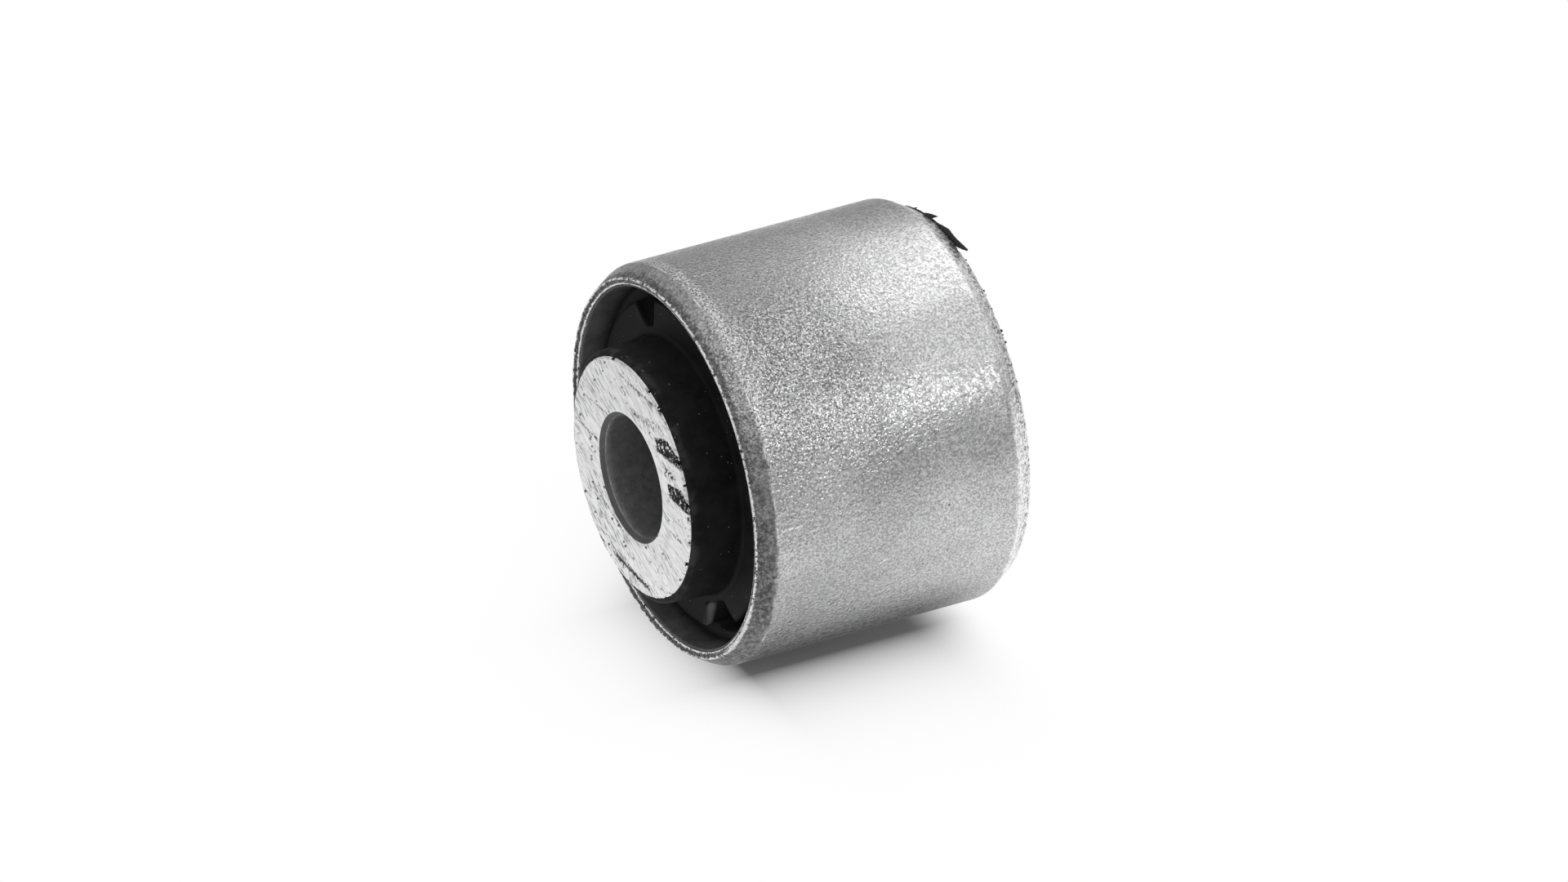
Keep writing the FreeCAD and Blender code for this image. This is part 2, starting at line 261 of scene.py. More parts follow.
class BushRubberSizes(bpy.types.PropertyGroup):
    """Sizes of the rubber moulding."""

    collar_lip_wall: bpy.props.FloatProperty(
        name="Collar lip wall", description="Rubber beside the inner sleeve at the collar's lip",
        default=0.6 * MM, unit="LENGTH", precision=5)
    collar_foot_wall: bpy.props.FloatProperty(
        name="Collar foot wall", description="Rubber beside the inner sleeve at the collar's foot",
        default=0.9 * MM, unit="LENGTH", precision=5)
    collar_lip_round: bpy.props.FloatProperty(
        name="Collar lip round", description="Rounding of the collar's lip",
        default=0.5 * MM, unit="LENGTH", precision=5)
    collar_foot_round: bpy.props.FloatProperty(
        name="Collar foot round", description="Fillet at the collar's foot",
        default=0.4 * MM, unit="LENGTH", precision=5)
    land_depth: bpy.props.FloatProperty(
        name="Land depth", description="Depth of the flat land below the rim",
        default=1.95 * MM, unit="LENGTH", precision=5)
    land_edge_round: bpy.props.FloatProperty(
        name="Land edge round", description="Rounding of the land beside the groove",
        default=0.3 * MM, unit="LENGTH", precision=5)
    groove_drop: bpy.props.FloatProperty(
        name="Groove drop", description="Depth of the groove below the land",
        default=1.7 * MM, unit="LENGTH", precision=5)
    groove_width: bpy.props.FloatProperty(
        name="Groove width", description="Width of the groove at its bottom",
        default=1.4 * MM, unit="LENGTH", precision=5)
    groove_round: bpy.props.FloatProperty(
        name="Groove round", description="Rounding of the groove's corners",
        default=0.5 * MM, unit="LENGTH", precision=5)
    lining_wall: bpy.props.FloatProperty(
        name="Lining wall", description="Rubber on the outer sleeve at the groove",
        default=0.5 * MM, unit="LENGTH", precision=5)
    lining_lip_wall: bpy.props.FloatProperty(
        name="Lining lip wall", description="Rubber on the outer sleeve near its rim",
        default=0.2 * MM, unit="LENGTH", precision=5)
    lining_drop: bpy.props.FloatProperty(
        name="Lining drop", description="How far the lining stays below the rim's inner edge",
        default=0.15 * MM, unit="LENGTH", precision=5)
    pocket_depth: bpy.props.FloatProperty(
        name="Pocket depth", description="Depth of the moulded pockets below the land",
        default=4.5 * MM, unit="LENGTH", precision=5)
    pocket_inner_gap: bpy.props.FloatProperty(
        name="Pocket inner gap", description="Land left between the collar's foot and a pocket",
        default=0.85 * MM, unit="LENGTH", precision=5)
    pocket_outer_gap: bpy.props.FloatProperty(
        name="Pocket outer gap", description="Rubber left between a pocket and the outer sleeve",
        default=1.2 * MM, unit="LENGTH", precision=5)
    upper_pocket_half_widths: bpy.props.FloatVectorProperty(
        name="Upper pocket half widths", description="Half width at the collar and half width at the groove",
        default=(0.55 * MM, 1.95 * MM), size=2, unit="LENGTH", precision=5)
    upper_pocket_taper: bpy.props.FloatProperty(
        name="Upper pocket taper", description="Length over which the upper pocket widens",
        default=1.6 * MM, unit="LENGTH", precision=5)
    lower_pocket_half_widths: bpy.props.FloatVectorProperty(
        name="Lower pocket half widths", description="Half width at the collar and half width at the groove",
        default=(1.8 * MM, 3.9 * MM), size=2, unit="LENGTH", precision=5)
    lower_pocket_taper: bpy.props.FloatProperty(
        name="Lower pocket taper", description="Length over which the lower pocket widens",
        default=2.4 * MM, unit="LENGTH", precision=5)
    skin_waves: bpy.props.FloatProperty(
        name="Skin waves", description="Depth of the moulding's broad waviness",
        default=0.02 * MM, unit="LENGTH", precision=5)
    skin_grain: bpy.props.FloatProperty(
        name="Skin grain", description="Depth of the moulding's fine waviness",
        default=0.007 * MM, unit="LENGTH", precision=6)
    flash_thickness: bpy.props.FloatProperty(
        name="Flash thickness", description="Thickness of the torn skin on the lower rim",
        default=0.26 * MM, unit="LENGTH", precision=5)


class BushFinishes(bpy.types.PropertyGroup):
    """Colours of the bush's surfaces."""

    blasted_steel: bpy.props.FloatVectorProperty(
        name="Blasted steel", description="Outer sleeve's finely grained wall",
        default=(0.47, 0.47, 0.474), subtype="COLOR", size=3, min=0.0, max=1.0)
    chamfer_steel: bpy.props.FloatVectorProperty(
        name="Chamfer steel", description="Darker, mottled chamfer of the outer sleeve",
        default=(0.125, 0.125, 0.127), subtype="COLOR", size=3, min=0.0, max=1.0)
    # The bright grey of worn edges and scratches, which also paints the glints on the wall
    worn_steel_and_painted_glints: bpy.props.FloatVectorProperty(
        name="Worn steel", description="Bright edges and scratches",
        default=(0.90, 0.90, 0.90), subtype="COLOR", size=3, min=0.0, max=1.0)
    cut_steel: bpy.props.FloatVectorProperty(
        name="Cut steel", description="Inner sleeve's end faces",
        default=(0.85, 0.85, 0.855), subtype="COLOR", size=3, min=0.0, max=1.0)
    bore_steel: bpy.props.FloatVectorProperty(
        name="Bore steel", description="Dull wall of the bolt bore",
        default=(0.30, 0.30, 0.303), subtype="COLOR", size=3, min=0.0, max=1.0)
    rubber: bpy.props.FloatVectorProperty(
        name="Rubber", description="Matt black rubber",
        default=(0.0105, 0.0105, 0.0105), subtype="COLOR", size=3, min=0.0, max=1.0)
    # Besides the dust specks, this grey also paints the sheen beside the rims, the highlight on the collar's
    # lip and the light deep down in the rubber
    dust: bpy.props.FloatVectorProperty(
        name="Dust", description="Pale dust specks and bloom on the rubber",
        default=(0.22, 0.22, 0.22), subtype="COLOR", size=3, min=0.0, max=1.0)


class BushStudioSettings(bpy.types.PropertyGroup):
    """Camera, floor and lamps."""

    camera_elevation: bpy.props.FloatProperty(
        name="Camera elevation", default=23.8,
        description="Angle of the camera above the plane of the end face, in degrees")
    bore_direction: bpy.props.FloatProperty(
        name="Bore direction", default=195.2,
        description="Where the upper end points in the picture, in degrees from its right side")
    camera_distance: bpy.props.FloatProperty(
        name="Camera distance", description="From the lens to the middle of the bush",
        default=2.4, unit="LENGTH")
    picture_width: bpy.props.FloatProperty(
        name="Picture width", description="Width that the picture covers at the bush",
        default=151.1 * MM, unit="LENGTH", precision=5)
    picture_offset: bpy.props.FloatVectorProperty(
        name="Picture offset", description="Middle of the picture, right of and above the middle of the bush",
        default=(-1.16 * MM, -0.78 * MM), size=2, unit="LENGTH", precision=5)
    floor_azimuth: bpy.props.FloatProperty(
        name="Floor azimuth", description="Side of the lying bush that faces up from the floor",
        default=62.6)
    floor_radius: bpy.props.FloatProperty(
        name="Floor radius", description="Radius of the pale floor",
        default=0.6, unit="LENGTH")
    key_power: bpy.props.FloatProperty(
        name="Key lamp", description="Power of the soft lamp that casts the shadow",
        default=0.35, unit="POWER")
    near_power: bpy.props.FloatProperty(
        name="Near lamp", description="Power of the lamp close above the lower end",
        default=0.00085, unit="POWER")
    front_power: bpy.props.FloatProperty(
        name="Front lamp", description="Power of the small lamp in front, which makes the grain sparkle",
        default=0.0019, unit="POWER")


def grey(level):
    """Gives a neutral colour."""
    return level, level, level


def turned(radius, turn, height):
    """Gives the points at a radius, turn and height, any of which may be an array."""
    angle = np.radians(turn)
    radius, angle, height = np.broadcast_arrays(radius, angle, height)
    return np.stack([radius * np.cos(angle), radius * np.sin(angle), height], axis=-1)


def arc(centre, radius, first, last, steps):
    """Gives the points of an arc in a section, as radius and height, between two angles in degrees."""
    angles = np.radians(np.linspace(first, last, steps + 1))
    return [
        (centre[0] + radius * math.cos(angle), centre[1] + radius * math.sin(angle)) for angle in angles]


def run(start, end, steps):
    """Gives evenly spaced points along a straight line in a section, without its two ends."""
    shares = np.linspace(0.0, 1.0, steps + 1)[1:-1]
    across, along = end[0] - start[0], end[1] - start[1]
    return [(start[0] + across * share, start[1] + along * share) for share in shares]


def surface_noise(points, feature, seed):
    """Gives smooth noise from about -1 to 1 at each point, with bumps about one feature apart."""
    shift = Vector((17.3 * seed, 5.1 * seed, 9.7 * seed))
    flat = points.reshape(-1, 3) / feature
    values = [noise.noise(Vector(point) + shift) for point in flat]
    return np.array(values).reshape(points.shape[:-1])


def both_ends(upper_half, lower_half):
    """Closes a section from its two halves, each listed from the bore outwards and with heights above 0."""
    return np.array(upper_half + [(radius, -height) for radius, height in reversed(lower_half)])


def outward(section):
    """Gives the outward direction at each point of a closed section listed clockwise."""
    along = np.roll(section, -1, axis=0) - np.roll(section, 1, axis=0)
    across = np.stack([-along[:, 1], along[:, 0]], axis=-1)
    return across / np.linalg.norm(across, axis=1, keepdims=True)


def lathe(section, columns):
    """Turns a section about the bore, and gives the points and their outward directions."""
    turns = np.arange(columns)[None, :] * 360.0 / columns
    radial, axial = outward(section).T
    return turned(section[:, :1], turns, section[:, 1:]), turned(radial[:, None], turns, axial[:, None])


def skin_from_rings(name, rings, material):
    """Makes a closed skin from rows of points, each row a ring and the last row joined to the first."""
    rows, columns = rings.shape[:2]
    here = np.arange(rows * columns).reshape(rows, columns)
    above = np.roll(here, -1, axis=0)
    quads = np.stack([here, np.roll(here, -1, axis=1), np.roll(above, -1, axis=1), above], axis=-1)
    return piece_from_faces(name, rings.reshape(-1, 3), quads.reshape(-1, 4), material)


def piece_from_faces(name, points, faces, material):
    """Makes a smooth-shaded mesh object whose faces look outwards."""
    corners = points[faces]
    volume = np.einsum("ij,ij->", corners[:, 0], np.cross(corners[:, 1], corners[:, 2]))
    volume += np.einsum("ij,ij->", corners[:, 0], np.cross(corners[:, 2], corners[:, -1]))
    if volume < 0:
        faces = faces[:, ::-1]
    mesh = bpy.data.meshes.new(name)
    mesh.from_pydata(points.tolist(), [], faces.tolist())
    mesh.shade_smooth()
    mesh.validate()
    mesh.materials.append(material)
    piece = bpy.data.objects.new(name, mesh)
    bpy.context.scene.collection.objects.link(piece)
    return piece


def attach(piece, slot, *nodes):
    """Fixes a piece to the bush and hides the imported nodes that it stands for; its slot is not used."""
    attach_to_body(piece, "root")
    if nodes:
        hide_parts(*nodes)


class NodeMaker:
    """Adds shader nodes to a tree and links them."""

    def __init__(self, tree):
        self.tree = tree
        self.tree.nodes.clear()

    def add(self, kind, inputs, **settings):
        """Adds a node, sets it up and feeds its inputs with values or with other nodes' outputs."""
        made = self.tree.nodes.new(kind)
        for name, value in settings.items():
            setattr(made, name, value)
        for socket, value in inputs.items():
            if isinstance(value, bpy.types.NodeSocket):
                self.tree.links.new(value, made.inputs[socket])
            else:
                made.inputs[socket].default_value = value
        return made

    def math(self, operation, first, second=0.0):
        """Adds one sum."""
        return self.add("ShaderNodeMath", {0: first, 1: second}, operation=operation).outputs[0]

    def plus(self, first, second):
        """Adds two numbers."""
        return self.math("ADD", first, second)

    def minus(self, first, second):
        """Takes the second number from the first."""
        return self.math("SUBTRACT", first, second)

    def product(self, *factors):
        """Multiplies several numbers."""
        result = factors[0]
        for factor in factors[1:]:
            result = self.math("MULTIPLY", result, factor)
        return result

    def either(self, *masks):
        """Gives the greatest of several masks."""
        joined = masks[0]
        for mask in masks[1:]:
            joined = self.math("MAXIMUM", joined, mask)
        return joined

    def vector(self, operation, first, second=(0.0, 0.0, 0.0)):
        """Adds one vector sum that gives a vector."""
        return self.add("ShaderNodeVectorMath", {0: first, 1: second}, operation=operation).outputs[0]

    def measure(self, operation, first, second=(0.0, 0.0, 0.0)):
        """Adds one vector sum that gives a number."""
        made = self.add("ShaderNodeVectorMath", {0: first, 1: second}, operation=operation)
        return made.outputs["Value"]

    def dot(self, first, second):
        """Adds one dot product."""
        return self.measure("DOT_PRODUCT", first, second)

    def join(self, *parts):
        """Makes a vector from its numbers."""
        return self.add("ShaderNodeCombineXYZ", dict(enumerate(parts))).outputs[0]

    def range(self, value, low, high, to_low=0.0, to_high=1.0):
        """Maps a value smoothly from one range to another and clamps it."""
        inputs = {"Value": value, "From Min": low, "From Max": high, "To Min": to_low, "To Max": to_high}
        made = self.add("ShaderNodeMapRange", inputs, interpolation_type="SMOOTHSTEP")
        return made.outputs["Result"]

    def band(self, value, middle, half_width):
        """Gives a mask of the values near a middle value."""
        away = self.math("ABSOLUTE", self.minus(value, middle))
        return self.range(away, half_width, half_width * 0.4)

    def past(self, value, limit):
        """Gives how far a value lies past a limit, or 0 below it."""
        return self.math("MAXIMUM", self.minus(value, limit), 0.0)

    def halving(self, value, step):
        """Gives 1 at 0 and half as much with each step."""
        return self.math("POWER", 0.5, self.math("DIVIDE", value, step))

    def mix(self, share, first, second):
        """Mixes two numbers."""
        return self.add("ShaderNodeMix", {"Factor": share, 2: first, 3: second}, data_type="FLOAT").outputs[0]

    def blend(self, share, first, second):
        """Mixes two colours."""
        inputs = {0: share}
        for socket, colour in ((6, first), (7, second)):
            inputs[socket] = colour if isinstance(colour, bpy.types.NodeSocket) else (*colour, 1.0)
        return self.add("ShaderNodeMix", inputs, data_type="RGBA").outputs[2]

    def tint(self, colour, factor):
        """Multiplies a colour or a vector by a number."""
        return self.add("ShaderNodeVectorMath", {0: colour, "Scale": factor}, operation="SCALE").outputs[0]

    def shaded(self, colour, mask, factor):
        """Multiplies a colour by a number where a mask lies."""
        return self.tint(colour, self.mix(mask, 1.0, factor))

    def noise(self, place, per_mm, detail=2.0, roughness=0.5):
        """Adds noise, with a scale in features for each millimetre."""
        inputs = {"Vector": place, "Scale": per_mm, "Detail": detail, "Roughness": roughness}
        return self.add("ShaderNodeTexNoise", inputs).outputs["Fac"]


class Finish(NodeMaker):
    """A material under construction."""

    def __init__(self, name):
        self.material = bpy.data.materials.new(name)
        self.material.use_nodes = True
        super().__init__(self.material.node_tree)


class BushFinish(Finish):
    """A finish of the bush, whose marks are fixed to the part and counted from the shown side."""

    def __init__(self, name):
        super().__init__(name)
        position = self.add("ShaderNodeTexCoord", {}).outputs["Object"]
        self.place = self.add("ShaderNodeMapping", {
            "Vector": self.tint(position, 1.0 / MM),
            "Rotation": (0.0, 0.0, -math.radians(SHOWN_TURN))}).outputs[0]
        self.forward, self.left, self.height = self.add("ShaderNodeSeparateXYZ", {0: self.place}).outputs
        flat = self.join(self.forward, self.left)
        self.radius = self.measure("LENGTH", flat)
        self.turn = self.math("DEGREES", self.math("ARCTAN2", self.left, self.forward))
        self.upper = self.math("GREATER_THAN", self.height, 0.0)

    def patchy(self, per_mm, detail, roughness, *limits):
        """Gives noise that is mapped smoothly between limits."""
        return self.range(self.noise(self.place, per_mm, detail, roughness), *limits)

    def zone(self, turns, heights=()):
        """Gives a mask from ramps in turn and in height, each from where it starts to where it is full."""
        ramps = [self.range(self.turn, *ramp) for ramp in turns]
        ramps += [self.range(self.height, *ramp) for ramp in heights]
        return self.product(*ramps)

    def specks(self, place, per_mm, radius, share):
        """Gives a mask of round specks: their radius in millimetres and the share of cells that hold one."""
        cells = self.add("ShaderNodeTexVoronoi", {"Vector": place, "Scale": per_mm})
        near = self.range(cells.outputs["Distance"], radius * per_mm, radius * per_mm * 0.5)
        chosen = self.add("ShaderNodeSeparateColor", {0: cells.outputs["Color"]}).outputs[0]
        return self.product(near, self.math("LESS_THAN", chosen, share))

    def stroke(self, place, start, end, start_width, end_width):
        """Gives a mask of one straight stroke between two points, all in millimetres."""
        start, end = Vector(start).to_3d(), Vector(end).to_3d()
        along = end - start
        offset = self.vector("SUBTRACT", place, start)
        share = self.add("ShaderNodeClamp", {0: self.dot(offset, along / along.length_squared)}).outputs[0]
        away = self.measure("DISTANCE", offset, self.tint(along, share))
        width = self.mix(share, start_width, end_width)
        return self.range(self.math("DIVIDE", away, width), 1.0, 0.2)

    def strokes(self, place, listed):
        """Gives a mask of several strokes, each as strong as its darkness."""
        return self.either(*(self.product(self.stroke(place, *stroke), dark) for *stroke, dark in listed))

    def patch(self, place, corners, torn, grit):
        """Gives a mask of one flat patch, whose edges the grit tears by about so many millimetres."""
        depths = []
        for start, end in zip(corners, corners[1:] + corners[:1]):
            along = (Vector(end) - Vector(start)).normalized()
            inward = Vector((-along.y, along.x, 0.0))
            depths.append(self.minus(self.dot(place, inward), inward.dot(Vector(start).to_3d())))
        depth = depths[0]
        for other in depths[1:]:
            depth = self.math("MINIMUM", depth, other)
        uneven = self.product(self.minus(grit, 0.5), 2.0 * torn)
        return self.range(self.minus(depth, uneven), torn * 0.2, torn * 0.2 + 0.12)

    def finish(self, colour, roughness, relief, depth, **constants):
        """Gives the material, closed with one surface shader whose relief is so many millimetres deep."""
        bump = self.add("ShaderNodeBump", {"Height": relief, "Distance": depth * MM, "Strength": 1.0})
        names = {"metallic": "Metallic", "specular": "Specular IOR Level"}
        inputs = {"Base Color": colour, "Roughness": roughness, "Normal": bump.outputs[0]}
        inputs.update({names[key]: value for key, value in constants.items()})
        shader = self.add("ShaderNodeBsdfPrincipled", inputs)
        self.add("ShaderNodeOutputMaterial", {"Surface": shader.outputs[0]})
        return self.material


class BlastedSteel(BushFinish):
    """Grey blasted steel: dimpled grain that sparkles, with painted glints; dark mottled chamfers, partly
    painted shade; and bright worn rims.
    """

    def __init__(self, colours, sizes):
        super().__init__("blasted_steel")
        self.colours = colours
        self.chamfer_length = sizes.chamfer_length / MM
        self.rim_width = sizes.rim_width / MM
        self.from_middle = self.minus(self.height, SLEEVE_MIDDLE / MM)
        self.below_rim = self.minus(HALF_SLEEVE / MM, self.math("ABSOLUTE", self.from_middle))
        jitter = self.product(self.minus(self.noise(self.place, 3.0), 0.5), 0.34)
        self.past_bond = self.plus(self.minus(self.radius, (OUTER_RADIUS - sizes.outer_wall) / MM), jitter)
        self.wander = self.minus(self.noise(self.place, 0.7, 3.0), 0.5)
        self.fine = self.noise(self.place, 4.6, 2.0, 0.6)
        self.on_chamfer = self.range(
            self.ragged_depth(-0.9), self.chamfer_length + 0.22, self.chamfer_length - 0.18)
        self.on_rim = self.product(
            self.range(self.below_rim, 0.5, 0.35),
            self.range(self.past_bond, self.rim_width + 0.12, self.rim_width + 0.02))

    def ragged_depth(self, reach):
        """Gives the distance from the nearer rim, made ragged by about half the reach in millimetres."""
        return self.plus(self.below_rim, self.product(self.wander, reach))

    def build(self):
        """Gives the finished material."""
        darkened = self.darkened()
        pitted = self.product(
            self.patchy(2.7, 2.0, 0.7, 0.50, 0.58), self.on_chamfer,
            self.range(self.ragged_depth(1.4), 1.5, 0.3))
        unrolled = self.join(self.product(self.turn, MM_PER_DEGREE), self.height)
        worn = self.either(*self.rim_lines(), self.scratches(unrolled))

        colour = self.chamfer(self.wall(), darkened)
        pits = self.product(self.specks(self.place, 0.7, 0.15, 0.10), 0.5)
        colour = self.blend(self.either(self.product(pitted, 0.75), pits), colour, grey(PIT_GREY))
        colour = self.blend(self.dark_specks(unrolled), colour, grey(SPECK_GREY))
        rim_dirt = self.patchy(3.6, 3.0, 0.7, 0.42, 0.58, 0.95, 0.25)
        colour = self.blend(self.product(self.on_rim, rim_dirt), colour, grey(RIM_DIRT_GREY))
        colour = self.blend(worn, colour, (*self.colours.worn_steel_and_painted_glints,))

        roughness = self.mix(worn, self.patchy(1.7, 2.0, 0.6, 0.35, 0.65, 0.20, 0.38), 0.34)
        roughness = self.product(roughness, self.range(self.height, -13.0, 0.0, 1.3, 1.0))
        roughness = self.mix(darkened, roughness, 0.5)
        relief = self.plus(self.product(self.dimples(), 0.9), self.product(self.fine, 0.5))
        relief = self.minus(relief, self.product(pitted, 0.4))
        relief = self.product(relief, self.range(self.height, -12.0, 7.0, 0.2, 1.15))
        return self.finish(colour, roughness, relief, 0.07, metallic=1.0)

    def dimples(self):
        """Gives the height of the dimples between rounded grains."""
        shaken = self.add("ShaderNodeTexNoise", {"Vector": self.place, "Scale": 2.2, "Detail": 1.0})
        place = self.vector("ADD", self.place, self.tint(shaken.outputs["Color"], 0.5))
        cells = self.add("ShaderNodeTexVoronoi", {"Vector": place, "Scale": 3.0})
        return self.math("POWER", cells.outputs["Distance"], 2.0)

    def wall(self):
        """Gives the wall's grey: fine grain, a lighter lower end and soft patches that are partly painted
        light and shade, and painted glints.
        """
        # Lighter towards the lower end: partly the steel's own tone, partly painted light
        lighter_end = self.range(self.from_middle, HALF_SLEEVE / MM, -HALF_SLEEVE / MM, 0.86, 1.22)
        # A lighter band beside the upper chamfer that grows towards the lit side: painted light, which also
        # carries painted glints below
        fringe = self.product(
            self.band(self.ragged_depth(1.2), self.chamfer_length + 0.85, 0.90),
            self.range(self.turn, -6.0, 14.0, 0.15, 1.0), self.upper)
        shade = self.product(
            self.range(self.fine, 0.32, 0.68, 0.66, 1.30), self.patchy(0.12, 3.0, 0.5, 0.3, 0.7, 0.93, 1.07),
            lighter_end, self.mix(fringe, 1.0, 1.12))
        wall = self.tint((*self.colours.blasted_steel,), shade)
        # Painted glints: in a band of turns and in the lighter band beside the upper chamfer, the grain gets
        # stronger contrast and bright specks, standing in for the lamp's sparkle
        sparkling = self.either(
            self.product(self.zone(GLINT_TURNS), self.range(self.height, -9.0, 6.0, 0.1, 0.95)),
            self.product(fringe, self.range(self.turn, -10.0, 12.0, 0.2, 1.0)))
        wall = self.shaded(wall, sparkling, self.range(self.fine, 0.36, 0.64, 0.62, 1.30))
        # Soft patches, partly the steel's own tone and partly painted light and shade
        for factor, turns, heights in SLEEVE_PATCHES_AND_PAINTED_LIGHT:
            wall = self.shaded(wall, self.zone(turns, heights), factor)
        glints = self.product(self.patchy(5.2, 1.0, 0.5, 0.53, 0.68), sparkling)
        return self.blend(glints, wall, (*self.colours.worn_steel_and_painted_glints,))

    def darkened(self):
        """Gives a mask of the dark upper chamfer, which is darkest low on the side of the lying bush: partly
        the steel's own darker finish, partly painted shade towards the floor.
        """
        ragged_turn = self.plus(self.turn, self.product(self.wander, 60.0))
        # Darker towards the floor side: painted shade
        lower_side = self.range(ragged_turn, 35.0, -45.0, 0.26, 0.95)
        near_rim = self.range(self.ragged_depth(1.0), 1.5, 0.3, 0.0, 0.85)
        under_side = self.range(self.turn, -50.0, -72.0, 1.0, 0.8)
        return self.product(self.on_chamfer, self.either(lower_side, near_rim), under_side, self.upper)

    def chamfer(self, wall, darkened):
        """Lays the dark mottled upper chamfer, partly painted shade, and the pale lower one over the wall."""
        mottle = self.noise(self.place, 2.1, 3.0, 0.7)
        wall = self.shaded(wall, self.on_chamfer, self.range(mottle, 0.36, 0.64, 0.85, 1.20))
        streak_place = self.join(self.product(self.turn, 0.12), self.height, self.radius)
        streaks = self.noise(streak_place, 3.2, 3.0, 0.6)
        dark = self.tint((*self.colours.chamfer_steel,), self.product(
            self.range(streaks, 0.3, 0.7, 0.75, 1.35), self.range(mottle, 0.36, 0.64, 0.5, 1.8)))
        lower = self.product(self.on_chamfer, self.math("LESS_THAN", self.height, 0.0))
        return self.shaded(self.blend(darkened, wall, dark), lower, 1.45)

    def dark_specks(self, unrolled):
        """Gives a mask of the single dark specks on the wall."""
        return self.strokes(unrolled, [
            ((turn * MM_PER_DEGREE, height), (turn * MM_PER_DEGREE + 0.05, height), size, size, 0.8)
            for turn, height, size in SLEEVE_SPECKS])

    def scratches(self, unrolled):
        """Gives a mask of the single bright scratches on the wall."""
        lines = self.strokes(unrolled, [
            ((first * MM_PER_DEGREE, up), (last * MM_PER_DEGREE, down), width, width, 1.0)
            for (first, up), (last, down), width in SLEEVE_SCRATCHES])
        return self.product(lines, self.patchy(3.4, 2.0, 0.5, 0.34, 0.56))

    def rim_lines(self):
        """Gives masks of the rim's bright inner and outer lines, the chamfer's edge and a rubbed stretch."""
        inner_line = self.product(
            self.on_rim, self.range(self.past_bond, 0.22, 0.10), self.patchy(1.8, 3.0, 0.7, 0.36, 0.46))
        outer_line = self.product(
            self.range(self.below_rim, 0.34, 0.20), self.band(self.past_bond, self.rim_width, 0.16),
            self.patchy(1.9, 3.0, 0.7, 0.40, 0.50))
        chamfer_edge = self.product(
            self.band(self.below_rim, self.chamfer_length + 0.1, 0.10), self.upper,
            self.patchy(0.5, 2.0, 0.5, 0.52, 0.62), 0.7)
        rubbed = self.product(
            self.range(self.below_rim, 0.42, 0.28), self.band(self.past_bond, self.rim_width - 0.10, 0.34),
            self.zone(RUBBED_TURNS), self.patchy(2.2, 3.0, 0.7, 0.36, 0.50, 0.2, 0.85))
        return inner_line, outer_line, chamfer_edge, rubbed


